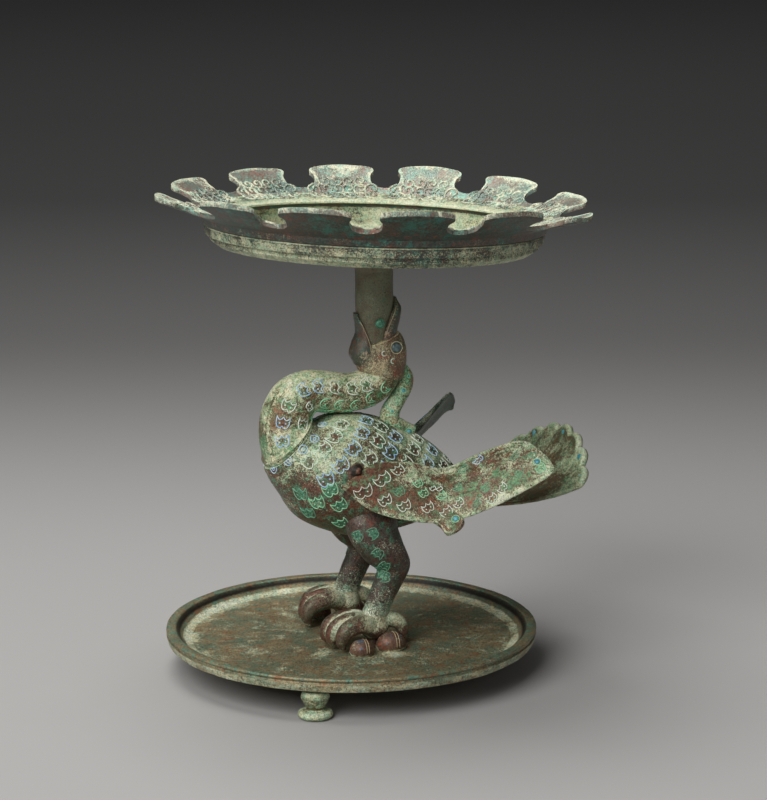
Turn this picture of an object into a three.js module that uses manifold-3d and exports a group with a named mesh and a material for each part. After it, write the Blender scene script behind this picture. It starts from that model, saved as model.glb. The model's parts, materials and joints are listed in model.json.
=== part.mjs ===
// Ritual basin on a bird stand, in cast bronze. Millimetres, +Z up.
// The bird walks towards +X and its left side is +Y. The origin is on the floor, under the stem.

import * as THREE from 'three';
import { mergeVertices } from 'three/addons/utils/BufferGeometryUtils.js';
import Module from 'manifold-3d';

const wasm = await Module();
wasm.setup();

// Seam of solder between two neighbouring castings
const SEAM = 0.3;

// Tray
const TRAY_RADIUS = 85;
const TRAY_AHEAD = 11.4;
const TRAY_PLATE = 2.7;
const TRAY_DEPTH = 5.6;
const TRAY_LIP = 4.2;
const TRAY_COVE = 7.5;
const TRAY_GROOVE = 0.9;

// Feet under the tray
const FOOT_COUNT = 3;
const FOOT_HEIGHT = 11.5;
const FOOT_INSET = 8;
const FOOT_DISC_RADIUS = 7.8;
const FOOT_DISC_HEIGHT = 3.6;
const FOOT_NECK_RADIUS = 3.3;
const FOOT_BALL_RADIUS = 6.3;

// Body of the bird
const BODY_LENGTH = 88;
const BODY_DEPTH = 56;
const BODY_WIDTH = 52;
const BODY_RUMP_X = -47;
const BODY_ABOVE_TRAY = 76.8;

// Neck
const NECK_RISE = 24;
const NECK_RADIUS = 9;
const COLLAR_STEP = 0.9;

// Head and beak
const HEAD_DEPTH = 25;
const HEAD_WIDTH = 19.4;
const HEAD_HEIGHT = 21;
const UPPER_BEAK_WALL = 3.3;
const LOWER_BEAK_WALL = 1.6;
const BEAK_EDGE = 0.5;
const UPPER_BEAK_LENGTH = 21;
const LOWER_BEAK_LENGTH = 14.5;
const EYE_RADIUS = 2.7;
const EYE_SOCKET_DEPTH = 1.4;

// Crest plume that falls from the head to the back
const PLUME_THICKNESS = 7.2;
const PLUME_WIDTH = 6.4;

// Wings
const WING_LENGTH = 85;
const WING_SPREAD = 39;
const WING_PLATE = 3;
const WING_ROOT = 8;
const WING_BULGE = 3.5;
const RIGHT_WING_LIFT = 5.8;

// Tail
const TAIL_LENGTH = 69;
const TAIL_ROOT_WIDTH = 24;
const TAIL_SPREAD = 92;
const TAIL_CURL_RISE = 32;
const TAIL_CURL_DEPTH = 56;
const TAIL_PLATE = 2.8;
const TAIL_FEATHERS = 7;
const FEATHER_ROUND = 2.6;

// Legs and claws
const LEG_SPACING = 42;
const THIGH_RADIUS = 13;
const SHANK_RADIUS = 5.3;
const CLAW_HEIGHT = 15.5;
const CLAW_AHEAD = 8;
const TOE_RADIUS = 4.3;
const TOE_REACH = 22;
const TOE_SPACING = 6.6;
const ANKLE_RADIUS = 7;
const PEG_RADIUS = 3;

// Serpents under the claws
const COIL_RADIUS = 4.8;
const COIL_LENGTH = 10.5;
const COIL_FRONT = 9;
const COIL_FRONT_OUT = 10.5;
const COIL_HIND = 6;
const COIL_HIND_OUT = 7;

// Stem
const STEM_RADIUS = 8.6;
const STEM_LENGTH = 42.6;
const STEM_FLARE = 1.6;
const STEM_GRIP_TAPER = 1;
const STEM_GRIP_LENGTH = 18;
const TENON_RADIUS = 4.5;
const TENON_LENGTH = 7;
const PIN_RADIUS = 2;

// Basin
const BASIN_LEAN = 2;
const BASIN_RADIUS = 79.5;
const BASIN_HEIGHT = 16.9;
const BASIN_BAND_HEIGHT = 5.7;
const BASIN_FOOT_RADIUS = 73.5;
const BASIN_WALL = 2.4;
const SHELF_WIDTH = 11.5;
const SHELF_FALL = 3.3;
const LOBE_LENGTH = 19.2;
const LOBE_COLLAR = 3.6;
const LOBE_WAIST = 27.5;
const LOBE_TIP = 32;
const LOBE_PLATE = 2.1;
// The twelve lobes, bent by hand: direction, pitch, and length as a share of the standard one.
const LOBES = [
  [28, 31, 1], [55, 36, 0.98], [82.2, 37, 0.99], [110.5, 33, 1], [141, 13, 1.06], [175.5, 23, 1.01],
  [205.5, 38, 0.93], [234, 46.5, 0.93], [262, 45.5, 0.9], [290.5, 38.5, 0.91], [320.5, 27, 0.98], [353.5, 18, 1.08],
];

// Heights that follow from the sizes above
const TRAY_FLOOR_Z = FOOT_HEIGHT + TRAY_PLATE;
const TRAY_RIM_Z = TRAY_FLOOR_Z + TRAY_DEPTH;
const BODY_Z = TRAY_FLOOR_Z + BODY_ABOVE_TRAY;
const ANKLE_Z = TRAY_FLOOR_Z + CLAW_HEIGHT;
const COLLAR_X = BODY_RUMP_X + BODY_LENGTH;
const COLLAR_Z = BODY_Z + 0.271 * BODY_DEPTH;
const COLLAR_RADIUS = 0.27 * BODY_DEPTH;
const HEAD_Z = COLLAR_Z + NECK_RISE;
const STEM_FOOT_Z = HEAD_Z + HEAD_HEIGHT - 2;
const STEM_TOP_Z = STEM_FOOT_Z + STEM_LENGTH;

const BRONZE = {
  green: [0x5d7259, 0.62],
  olive: [0x55563c, 0.66],
  brown: [0x5c4332, 0.6],
  teal: [0x3d5750, 0.6],
  pale: [0x7d8f6c, 0.72],
};

const parts = new THREE.Group();

// Adds one named casting to the model.
function addPart(name, geometry, tone, parent = parts) {
  const [colour, roughness] = BRONZE[tone];
  const material = new THREE.MeshStandardMaterial({ color: colour, roughness, metalness: 0.6 });
  const mesh = new THREE.Mesh(geometry, material);
  mesh.name = name;
  parent.add(mesh);
  return mesh;
}

const radians = THREE.MathUtils.degToRad;
const point = (x, y, z) => new THREE.Vector3(x, y, z);

// Turns a closed mesh into a solid that can be cut and joined.
function solidOf(geometry) {
  const bare = geometry.clone();
  bare.deleteAttribute('normal');
  bare.deleteAttribute('uv');
  const merged = mergeVertices(bare, 1e-4);
  const mesh = new wasm.Mesh({
    numProp: 3,
    vertProperties: new Float32Array(merged.attributes.position.array),
    triVerts: new Uint32Array(merged.index.array),
  });
  return new wasm.Manifold(mesh);
}

// Turns a solid back into a mesh.
function geometryOf(solid) {
  const mesh = solid.getMesh();
  const geometry = new THREE.BufferGeometry();
  geometry.setAttribute('position', new THREE.BufferAttribute(new Float32Array(mesh.vertProperties), 3));
  geometry.setIndex(new THREE.BufferAttribute(new Uint32Array(mesh.triVerts), 1));
  geometry.computeVertexNormals();
  return geometry;
}

// Volume inside a closed mesh, negative where its faces point inwards.
function signedVolume(positions, index) {
  let sum = 0;
  const a = point(0, 0, 0);
  const b = point(0, 0, 0);
  const c = point(0, 0, 0);
  for (let i = 0; i < index.length; i += 3) {
    a.fromArray(positions, 3 * index[i]);
    b.fromArray(positions, 3 * index[i + 1]);
    c.fromArray(positions, 3 * index[i + 2]);
    sum += a.dot(b.cross(c)) / 6;
  }
  return sum;
}

// Skins a row of closed rings, which have the same number of points, and closes both ends.
function skinRings(rings) {
  const sides = rings[0].length;
  const positions = [];
  const index = [];
  rings.flat().forEach((p) => positions.push(p.x, p.y, p.z));
  for (let i = 0; i + 1 < rings.length; i += 1) {
    for (let j = 0; j < sides; j += 1) {
      const here = i * sides + j;
      const next = i * sides + (j + 1) % sides;
      index.push(here, next, here + sides);
      index.push(next, next + sides, here + sides);
    }
  }
  [0, rings.length - 1].forEach((i) => {
    const middle = point(0, 0, 0);
    rings[i].forEach((p) => middle.addScaledVector(p, 1 / sides));
    const hub = positions.length / 3;
    positions.push(middle.x, middle.y, middle.z);
    for (let j = 0; j < sides; j += 1) {
      const here = i * sides + j;
      const next = i * sides + (j + 1) % sides;
      if (i === 0) index.push(next, here, hub);
      else index.push(here, next, hub);
    }
  });
  if (signedVolume(positions, index) < 0) index.reverse();
  const geometry = new THREE.BufferGeometry();
  geometry.setAttribute('position', new THREE.Float32BufferAttribute(positions, 3));
  geometry.setIndex(index);
  geometry.computeVertexNormals();
  return geometry;
}

// Reads a smooth value between the entries of a short list, for t from 0 to 1.
function along(values, t) {
  const curve = new THREE.SplineCurve(values.map((v, i) => new THREE.Vector2(i, v)));
  return curve.getPoint(t).y;
}

// A limb with elliptical sections. A station is [x, y, z, turn, half depth, half width]:
// turn is the heading of the limb in degrees, from +X up towards +Z, and grow swells it.
function limb(stations, { steps, sides, grow = 0 }) {
  const columns = stations[0].map((_, c) => stations.map((s) => s[c]));
  const rings = [];
  for (let i = 0; i <= steps; i += 1) {
    const [x, y, z, turn, depth, width] = columns.map((values) => along(values, i / steps));
    const across = point(-Math.sin(radians(turn)), 0, Math.cos(radians(turn)));
    const ring = [];
    for (let j = 0; j < sides; j += 1) {
      const angle = 2 * Math.PI * j / sides;
      const p = point(x, y, z).addScaledVector(across, (depth + grow) * Math.cos(angle));
      ring.push(p.add(point(0, (width + grow) * Math.sin(angle), 0)));
    }
    rings.push(ring);
  }
  if (grow > 0) {
    const tips = [stations[0], stations[stations.length - 1]];
    tips.forEach(([, , , turn], end) => {
      const heading = point(Math.cos(radians(turn)), 0, Math.sin(radians(turn)));
      rings[end * steps].forEach((p) => p.addScaledVector(heading, end ? grow : -grow));
    });
  }
  return skinRings(rings);
}

// A round tapering rod along a smooth free path.
function rod(points, radii, { steps, sides }) {
  const curve = new THREE.CatmullRomCurve3(points);
  const frames = curve.computeFrenetFrames(steps);
  const rings = [];
  for (let i = 0; i <= steps; i += 1) {
    const centre = curve.getPoint(i / steps);
    const radius = along(radii, i / steps);
    const ring = [];
    for (let j = 0; j < sides; j += 1) {
      const angle = 2 * Math.PI * j / sides;
      const p = centre.clone().addScaledVector(frames.normals[i], radius * Math.cos(angle));
      ring.push(p.addScaledVector(frames.binormals[i], radius * Math.sin(angle)));
    }
    rings.push(ring);
  }
  return skinRings(rings);
}

// Revolves a profile of [radius, height] pairs about +Z.
function turned(profile, segments) {
  const geometry = new THREE.LatheGeometry(profile.map(([r, z]) => new THREE.Vector2(r, z)), segments);
  geometry.rotateX(Math.PI / 2);
  const bare = geometry.clone();
  bare.deleteAttribute('normal');
  bare.deleteAttribute('uv');
  const merged = mergeVertices(bare, 1e-4);
  const index = Array.from(merged.index.array);
  const clean = [];
  for (let i = 0; i < index.length; i += 3) {
    const [a, b, c] = index.slice(i, i + 3);
    if (a !== b && b !== c && c !== a) clean.push(a, b, c);
  }
  if (signedVolume(merged.attributes.position.array, clean) < 0) clean.reverse();
  merged.setIndex(clean);
  merged.computeVertexNormals();
  return merged;
}

// A round bar from one height to another.
function bar(radius, low, high, segments = 16) {
  return turned([[0, low], [radius, low], [radius, high], [0, high]], segments);
}

// The tray's section: flat plate, rounded foot of the rim, groove, lip and cove.
function trayProfile() {
  const bottom = FOOT_HEIGHT;
  const lipInner = TRAY_RADIUS - TRAY_LIP;
  return [
    [0, bottom],
    [0.81 * TRAY_RADIUS, bottom],
    [TRAY_RADIUS - 6, bottom + 0.5],
    [TRAY_RADIUS - 1, bottom + 2.2],
    [TRAY_RADIUS, TRAY_RIM_Z - 2.8],
    [TRAY_RADIUS - TRAY_GROOVE, TRAY_RIM_Z - 2.3],
    [TRAY_RADIUS - TRAY_GROOVE, TRAY_RIM_Z - 1.6],
    [TRAY_RADIUS, TRAY_RIM_Z - 1.1],
    [TRAY_RADIUS - 0.4, TRAY_RIM_Z],
    [lipInner, TRAY_RIM_Z],
    [lipInner - 0.6, TRAY_RIM_Z - 0.5],
    [lipInner - 0.25 * TRAY_COVE, TRAY_FLOOR_Z + 0.6 * TRAY_DEPTH],
    [lipInner - 0.6 * TRAY_COVE, TRAY_FLOOR_Z + 0.2 * TRAY_DEPTH],
    [lipInner - TRAY_COVE, TRAY_FLOOR_Z],
    [0, TRAY_FLOOR_Z],
  ];
}

function tray(lowered = 0) {
  return turned(trayProfile(), 46).translate(TRAY_AHEAD, 0, -lowered);
}

// A tray foot: a thick rounded disc, a short neck and a ball that carries the rim.
function trayFoot(angle) {
  const disc = FOOT_DISC_RADIUS;
  const neckZ = FOOT_DISC_HEIGHT + 1;
  const ballZ = neckZ + 0.75 * FOOT_BALL_RADIUS;
  const profile = [
    [0, 0],
    [disc - 1.6, 0],
    [disc - 0.3, 0.25 * FOOT_DISC_HEIGHT],
    [disc, 0.55 * FOOT_DISC_HEIGHT],
    [disc - 0.9, 0.9 * FOOT_DISC_HEIGHT],
    [FOOT_NECK_RADIUS + 0.8, FOOT_DISC_HEIGHT],
    [FOOT_NECK_RADIUS, neckZ],
    [0.82 * FOOT_BALL_RADIUS, ballZ - 0.6 * FOOT_BALL_RADIUS],
    [FOOT_BALL_RADIUS, ballZ],
    [0.85 * FOOT_BALL_RADIUS, ballZ + 0.55 * FOOT_BALL_RADIUS],
    [0.6 * FOOT_BALL_RADIUS, FOOT_HEIGHT + 0.6 * TRAY_PLATE],
    [0, FOOT_HEIGHT + 0.6 * TRAY_PLATE],
  ];
  const reach = TRAY_RADIUS - FOOT_INSET;
  const foot = turned(profile, 16);
  foot.translate(TRAY_AHEAD + reach * Math.cos(angle), reach * Math.sin(angle), 0);
  return geometryOf(solidOf(foot).subtract(solidOf(tray(SEAM))));
}

// The egg-shaped body, from the rump to the collar where the neck begins.
const BODY_STATIONS = [
  [0.00, -0.223, 0, 0.18, 0.38],
  [0.08, -0.214, 2, 0.32, 0.54],
  [0.22, -0.135, 8, 0.565, 0.75],
  [0.375, -0.1, 12, 0.8, 0.90],
  [0.557, -0.063, 16, 0.964, 0.98],
  [0.693, 0, 24, 1, 1],
  [0.816, 0.075, 30, 0.936, 0.96],
  [0.903, 0.173, 37, 0.771, 0.81],
  [0.977, 0.22, 43, 0.586, 0.635],
  [1, 0.271, 45, 0.536, 0.555],
];

function bodyForm(grow = 0) {
  const stations = BODY_STATIONS.map(([x, z, turn, depth, width]) => [
    BODY_RUMP_X + x * BODY_LENGTH,
    0,
    BODY_Z + z * BODY_DEPTH,
    turn,
    depth * BODY_DEPTH / 2,
    width * BODY_WIDTH / 2,
  ]);
  return limb(stations, { steps: 18, sides: 20, grow });
}

// The neck rises from the collar, bends back over the body and climbs into the head.
// A station is [share of the way to the stem, share of the rise, turn, radius share].
const NECK_STATIONS = [
  [0.00, 0.03, 45, 1.66],
  [-0.02, 0.09, 49, 1.62],
  [-0.03, 0.16, 54, 1.5],
  [-0.035, 0.36, 72, 1.38],
  [0.0, 0.61, 95, 1.32],
  [0.088, 0.855, 125, 1.22],
  [0.237, 0.97, 157, 1.11],
  [0.44, 0.94, 186, 1.05],
  [0.67, 0.895, 186, 0.99],
  [0.866, 0.94, 165, 0.98],
  [1.02, 1.07, 140, 0.98],
  [1.085, 1.26, 115, 0.95],
];

function neckForm(grow = 0) {
  const stations = NECK_STATIONS.map(([back, up, turn, size]) => [
    COLLAR_X - back * COLLAR_X,
    0,
    COLLAR_Z + up * NECK_RISE,
    turn,
    size * NECK_RADIUS,
    size * NECK_RADIUS * 0.95,
  ]);
  return limb(stations, { steps: 20, sides: 14, grow });
}

function neck() {
  return geometryOf(solidOf(neckForm()).subtract(solidOf(bodyForm(SEAM))));
}

// The head stands upright: its crown faces back and its beak opens upwards round the stem.
const HEAD_STATIONS = [
  [-4.6, 0.04, 92, 0.3, 0.3],
  [-4.6, 0.13, 92, 0.66, 0.7],
  [-3.6, 0.3, 90, 0.84, 0.9],
  [-3, 0.5, 88, 0.95, 1],
  [-2.6, 0.74, 82, 0.98, 1],
  [-1.8, 0.94, 74, 0.9, 0.96],
  [-1.4, 1.03, 70, 0.68, 0.8],
];

function headForm(grow = 0) {
  const stations = HEAD_STATIONS.map(([x, up, turn, depth, width]) => [
    x,
    0,
    HEAD_Z + up * HEAD_HEIGHT,
    turn,
    depth * HEAD_DEPTH / 2,
    width * HEAD_WIDTH / 2,
  ]);
  return limb(stations, { steps: 11, sides: 14, grow });
}

// The stem's radius at a height: its foot tapers inside the bird's beak.
function stemRadius(z) {
  const below = THREE.MathUtils.clamp(1 - (z - STEM_FOOT_Z) / STEM_GRIP_LENGTH, 0, 1);
  return STEM_RADIUS - STEM_GRIP_TAPER * below;
}

function stemBore() {
  const low = STEM_FOOT_Z - SEAM;
  const high = STEM_FOOT_Z + STEM_GRIP_LENGTH;
  const profile = [[0, low], [stemRadius(low) + SEAM, low], [STEM_RADIUS + SEAM, high], [0, high]];
  const shank = solidOf(turned(profile, 20));
  const socket = solidOf(bar(TENON_RADIUS + SEAM, STEM_FOOT_Z - TENON_LENGTH - SEAM, STEM_TOP_Z, 16));
  return shank.add(socket);
}

function eyeStud(side, radius, depth) {
  const dome = 0.45 * radius;
  const profile = [
    [0, -depth],
    [radius, -depth],
    [radius, 0.3],
    [0.72 * radius, 0.3 + 0.7 * dome],
    [0, 0.3 + dome],
  ];
  const stud = turned(profile, 14);
  stud.rotateX(-side * Math.PI / 2 + side * radians(8));
  return stud.translate(-7.3, side * 0.475 * HEAD_WIDTH, HEAD_Z + 0.87 * HEAD_HEIGHT);
}

function head() {
  let solid = solidOf(headForm()).subtract(stemBore()).subtract(solidOf(neckForm(SEAM)));
  [1, -1].forEach((side) => {
    solid = solid.subtract(solidOf(eyeStud(side, EYE_RADIUS + SEAM, EYE_SOCKET_DEPTH + SEAM)));
  });
  return geometryOf(solid);
}

// Wall, swell and half angle of the beak plates, from root to tip.
const UPPER_BEAK = {
  length: UPPER_BEAK_LENGTH,
  root: 3,
  walls: [0.3, 0.42, 0.6, 0.9, 1, 0.3].map((share) => share * UPPER_BEAK_WALL),
  spread: [80, 80, 72, 58, 36, 12],
};
const LOWER_BEAK = {
  length: LOWER_BEAK_LENGTH,
  root: 9,
  walls: [0.8, 2.2, 1.5, 0.2, 0.15, 0.4].map((share) => share * LOWER_BEAK_WALL),
  spread: [40, 62, 62, 50, 34, 12],
};

// Half of the beak: a curved plate that hugs the stem, narrows to its tip and swells at its root.
function beak(facing, { length, root, walls, spread }) {
  const rows = 8;
  const columns = 5;
  const rings = [];
  for (let i = 0; i <= rows; i += 1) {
    const t = i / rows;
    const half = radians(along(spread, t));
    const wall = along(walls, t);
    const z = STEM_FOOT_Z - root + t * (length + root);
    const inner = (stemRadius(z) + SEAM) / Math.cos(half / columns);
    const outside = [];
    const inside = [];
    for (let j = 0; j <= columns; j += 1) {
      const u = 2 * j / columns - 1;
      const angle = facing + u * half;
      const outer = inner + BEAK_EDGE + wall * (1 - 0.8 * u * u);
      outside.push(point(outer * Math.cos(angle), outer * Math.sin(angle), z));
      inside.unshift(point(inner * Math.cos(angle), inner * Math.sin(angle), z));
    }
    rings.push([...outside, ...inside]);
  }
  let solid = solidOf(skinRings(rings)).subtract(solidOf(headForm(SEAM)));
  [1, -1].forEach((side) => {
    solid = solid.subtract(solidOf(eyeStud(side, EYE_RADIUS + SEAM, EYE_SOCKET_DEPTH + SEAM)));
  });
  return geometryOf(solid);
}

// The crest plume leaves the back of the head, hangs in a loop and lies on the back.
function plume() {
  const top = HEAD_Z + 0.42 * HEAD_HEIGHT;
  const backX = -15;
  const backZ = BODY_Z + 0.335 * BODY_DEPTH;
  const fall = top - backZ;
  const stations = [
    [-11.4, 0, top + 1, -125, 0.62, 0.7],
    [-14.6, 0, top - 0.17 * fall, -95, 1, 1],
    [-14.4, 0.5, top - 0.34 * fall, -66, 1.02, 1],
    [-10.8, 1.5, top - 0.52 * fall, -54, 1.08, 1.1],
    [-7.2, 2, top - 0.7 * fall, -72, 1.2, 1.3],
    [-6.6, 2.5, top - 0.86 * fall, -105, 1.25, 1.5],
    [-10.2, 3, backZ + 1.2, -140, 1.1, 1.4],
    [backX - 2, 3, backZ - 1.6, -146, 0.8, 1],
  ].map(([x, y, z, turn, d, w]) => [x, y, z, turn, d * PLUME_THICKNESS / 2, w * PLUME_WIDTH / 2]);
  const form = solidOf(limb(stations, { steps: 14, sides: 10 }));
  const cut = form.subtract(solidOf(headForm(SEAM))).subtract(solidOf(neckForm(SEAM)));
  return geometryOf(cut.subtract(solidOf(bodyForm(SEAM))));
}

// Upper and lower edges of a wing: [share of the length, share of the spread, height].
const WING_TOP_EDGE = [
  [0, 0.03, 0],
  [0.16, -0.03, 8],
  [0.37, -0.03, 7.8],
  [0.56, 0, 4.4],
  [0.75, 0.21, 12.6],
  [0.9, 0.51, 18.6],
  [0.98, 0.78, 14.2],
  [1, 0.92, 10],
];
const WING_LOW_EDGE = [
  [0, 0.03, -2],
  [0.13, 0.18, -11],
  [0.31, 0.36, -15],
  [0.49, 0.5, -15.4],
  [0.67, 0.69, -9.6],
  [0.84, 0.87, -1],
  [0.95, 1, 5.8],
  [0.995, 0.98, 8],
];

function wingEdge(list, side) {
  const shoulderX = BODY_RUMP_X + 0.8 * BODY_LENGTH;
  const flank = 0.5 * BODY_WIDTH;
  const lift = side < 0 ? RIGHT_WING_LIFT : 0;
  return new THREE.CatmullRomCurve3(list.map(([back, out, up]) => point(
    shoulderX - back * WING_LENGTH,
    side * (flank + out * WING_SPREAD),
    BODY_Z + 0.4 + up + lift * Math.sin(0.8 * Math.PI * back),
  )));
}

function wingBlade(side) {
  const top = wingEdge(WING_TOP_EDGE, side);
  const low = wingEdge(WING_LOW_EDGE, side);
  const rows = 14;
  const columns = 5;
  const rings = [];
  for (let i = 0; i <= rows; i += 1) {
    const t = i / rows;
    const a = top.getPoint(t);
    const b = low.getPoint(t);
    const chord = b.clone().sub(a);
    const normal = chord.clone().cross(top.getTangent(t)).normalize();
    if (normal.z < 0) normal.negate();
    const root = WING_ROOT * Math.max(0, 1 - 1.6 * t);
    const outer = [];
    const inner = [];
    for (let j = 0; j <= columns; j += 1) {
      const v = j / columns;
      const round = Math.sin(Math.PI * v);
      const bulge = WING_BULGE * round * (1 - 0.6 * t);
      const thick = 0.6 + (WING_PLATE - 0.6) * Math.sqrt(round) + root * (1 - v);
      const p = a.clone().addScaledVector(chord, v).addScaledVector(normal, bulge);
      outer.push(p);
      inner.unshift(p.clone().addScaledVector(normal, -thick));
    }
    rings.push([...outer, ...inner]);
  }
  return skinRings(rings);
}

// The small hooked lobe on the wing's lower edge.
function wingHook(side) {
  const low = wingEdge(WING_LOW_EDGE, side);
  const base = low.getPoint(0.4);
  const tip = low.getPoint(0.49);
  const points = [
    base.clone().add(point(3, -side * 2, 3)),
    base.clone().add(point(-3.5, side * 0.5, -2)),
    tip.clone().add(point(1.5, -side * 1, -2.6)),
    tip.clone().add(point(-0.5, -side * 1, 2)),
  ];
  return rod(points, [2, 3.4, 3.6, 1.8], { steps: 8, sides: 8 });
}

function wing(side) {
  const blade = solidOf(wingBlade(side)).add(solidOf(wingHook(side)));
  return geometryOf(blade.subtract(solidOf(bodyForm(SEAM))));
}

// The tail is a fan of scalloped feathers whose plate curls upwards behind.
function tailPoint(s, t) {
  const halfAngle = radians(46);
  const feather = Math.abs(Math.sin(0.5 * Math.PI * TAIL_FEATHERS * (s + 1)));
  const fanRadius = 0.5 * TAIL_SPREAD / Math.sin(halfAngle);
  const apex = TAIL_LENGTH - fanRadius;
  const reach = fanRadius + FEATHER_ROUND * (Math.sqrt(feather) - 1) * t;
  const edge = apex + reach * Math.cos(halfAngle * s);
  const width = THREE.MathUtils.lerp(0.5 * TAIL_ROOT_WIDTH * s, reach * Math.sin(halfAngle * s), t ** 1.35);
  return { run: t * edge, y: width };
}

function tail() {
  const rootX = BODY_RUMP_X + 6;
  const rootZ = BODY_Z - 0.335 * BODY_DEPTH;
  const curl = (run) => Math.min(1, run / TAIL_LENGTH);
  const columns = 4 * TAIL_FEATHERS;
  const rows = 6;
  const place = (s, t) => {
    const { run, y } = tailPoint(s, t);
    const c = curl(run);
    const x = rootX - TAIL_CURL_DEPTH * (c * 1.19 - 0.19 * c ** 3);
    const z = rootZ + TAIL_CURL_RISE * (0.12 * c + 0.88 * c ** 2.6);
    return point(x, y, z);
  };
  const rings = [];
  for (let j = 0; j <= columns; j += 1) {
    const s = 2 * j / columns - 1;
    const under = [];
    const over = [];
    for (let i = 0; i <= rows; i += 1) {
      const t = i / rows;
      const p = place(s, t);
      const ahead = place(s, Math.min(1, t + 0.01)).sub(place(s, Math.max(0, t - 0.01)));
      const normal = point(ahead.z, 0, -ahead.x).normalize();
      if (normal.z < 0) normal.negate();
      const edge = Math.sqrt(Math.max(0, 1 - s ** 12));
      const thick = TAIL_PLATE * (0.45 + 0.55 * edge) + 7 * Math.max(0, 0.45 - t) * edge;
      under.push(p);
      over.unshift(p.clone().addScaledVector(normal, thick));
    }
    rings.push([...under, ...over]);
  }
  return geometryOf(solidOf(skinRings(rings)).subtract(solidOf(bodyForm(SEAM))));
}

// A leg: feathered thigh, backward hock and a slim shank down to the claw.
function leg(side) {
  const y = side * LEG_SPACING / 2;
  const fall = BODY_Z - 0.36 * BODY_DEPTH - ANKLE_Z;
  const stations = [
    [7, 0.78, 1.1, -100, 1, 0.72],
    [6.6, 0.9, 0.88, -112, 0.86, 0.7],
    [2.2, 1, 0.66, -112, 0.72, 0.58],
    [-1.6, 1, 0.5, -95, 0.6, 0.49],
    [0.8, 1, 0.34, -70, 0.5, 0.42],
    [4.4, 1, 0.16, -63, 0.46, 0.4],
    [6.6, 1, 0.02, -68, 0.44, 0.44],
    [7.6, 1, -0.01, -90, 0.45, 0.45],
  ].map(([x, out, up, turn, d, w]) => {
    const size = d > 0.5 ? THIGH_RADIUS : SHANK_RADIUS / 0.41;
    return [x, y * out, ANKLE_Z + SEAM + up * fall, turn, d * size, w * size];
  });
  const form = solidOf(limb(stations, { steps: 12, sides: 12 }));
  const below = solidOf(bar(LEG_SPACING, FOOT_HEIGHT, ANKLE_Z + SEAM, 6));
  return geometryOf(form.subtract(solidOf(bodyForm(SEAM))).subtract(below));
}

// One toe: it arches forwards from the ankle and curls down to its claw tip.
function toe(side, out, reach, size) {
  const y = side * LEG_SPACING / 2;
  const spread = side * out;
  const z = TRAY_FLOOR_Z;
  const points = [
    point(CLAW_AHEAD, y + 0.2 * spread, z + 0.62 * CLAW_HEIGHT),
    point(CLAW_AHEAD + 0.42 * reach, y + 0.75 * spread, z + 0.8 * CLAW_HEIGHT),
    point(CLAW_AHEAD + 0.85 * reach, y + spread, z + 0.68 * CLAW_HEIGHT),
    point(CLAW_AHEAD + reach, y + spread, z + 0.36 * CLAW_HEIGHT),
    point(CLAW_AHEAD + 0.93 * reach, y + spread, z + 0.1 * CLAW_HEIGHT),
  ];
  const radii = [1.05, 1, 0.9, 0.66, 0.22].map((r) => r * size);
  return solidOf(rod(points, radii, { steps: 6, sides: 7 }));
}

function claw(side) {
  const y = side * LEG_SPACING / 2;
  const z = TRAY_FLOOR_Z;
  const ankle = solidOf(limb([
    [CLAW_AHEAD, y, z + 0.3 * CLAW_HEIGHT, 90, 0.57 * ANKLE_RADIUS, 0.64 * ANKLE_RADIUS],
    [CLAW_AHEAD, y, z + 0.55 * CLAW_HEIGHT, 90, ANKLE_RADIUS, 1.03 * ANKLE_RADIUS],
    [0.95 * CLAW_AHEAD, y, z + 0.8 * CLAW_HEIGHT, 90, 0.94 * ANKLE_RADIUS, 0.94 * ANKLE_RADIUS],
    [0.95 * CLAW_AHEAD, y, z + CLAW_HEIGHT, 90, 0.8 * ANKLE_RADIUS, 0.8 * ANKLE_RADIUS],
  ], { steps: 4, sides: 12 }));
  const peg = solidOf(bar(PEG_RADIUS, FOOT_HEIGHT, z + 0.6 * CLAW_HEIGHT, 12).translate(CLAW_AHEAD, y, 0));
  let solid = ankle.add(peg);
  [[1, 0.78], [0, 0.9], [-1, 0.93]].forEach(([out, share]) => {
    solid = solid.add(toe(side, out * TOE_SPACING, share * TOE_REACH, TOE_RADIUS));
  });
  return geometryOf(solid.add(toe(side, 0.23 * TOE_SPACING, -0.62 * TOE_REACH, 0.86 * TOE_RADIUS)));
}

// A loop of a serpent's body that swells out of the tray beside the claw.
function coil(x, y, radius, length) {
  const low = TRAY_FLOOR_Z + 0.1 * radius;
  const points = [-0.5, -0.25, 0, 0.25, 0.5].map((share) => point(
    x + share * length,
    y,
    low + 0.35 * radius * Math.cos(Math.PI * share),
  ));
  const loop = solidOf(rod(points, [0.3, 0.86, 1, 0.86, 0.3].map((r) => r * radius), { steps: 6, sides: 10 }));
  return loop.subtract(solidOf(bar(TRAY_RADIUS, 0, TRAY_FLOOR_Z + SEAM, 8)));
}

// The stem's own upper end and everything above it lean with the basin.
function leaned(geometry) {
  geometry.translate(0, 0, -STEM_TOP_Z);
  geometry.rotateY(-radians(BASIN_LEAN));
  return geometry.translate(0, 0, STEM_TOP_Z);
}

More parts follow.
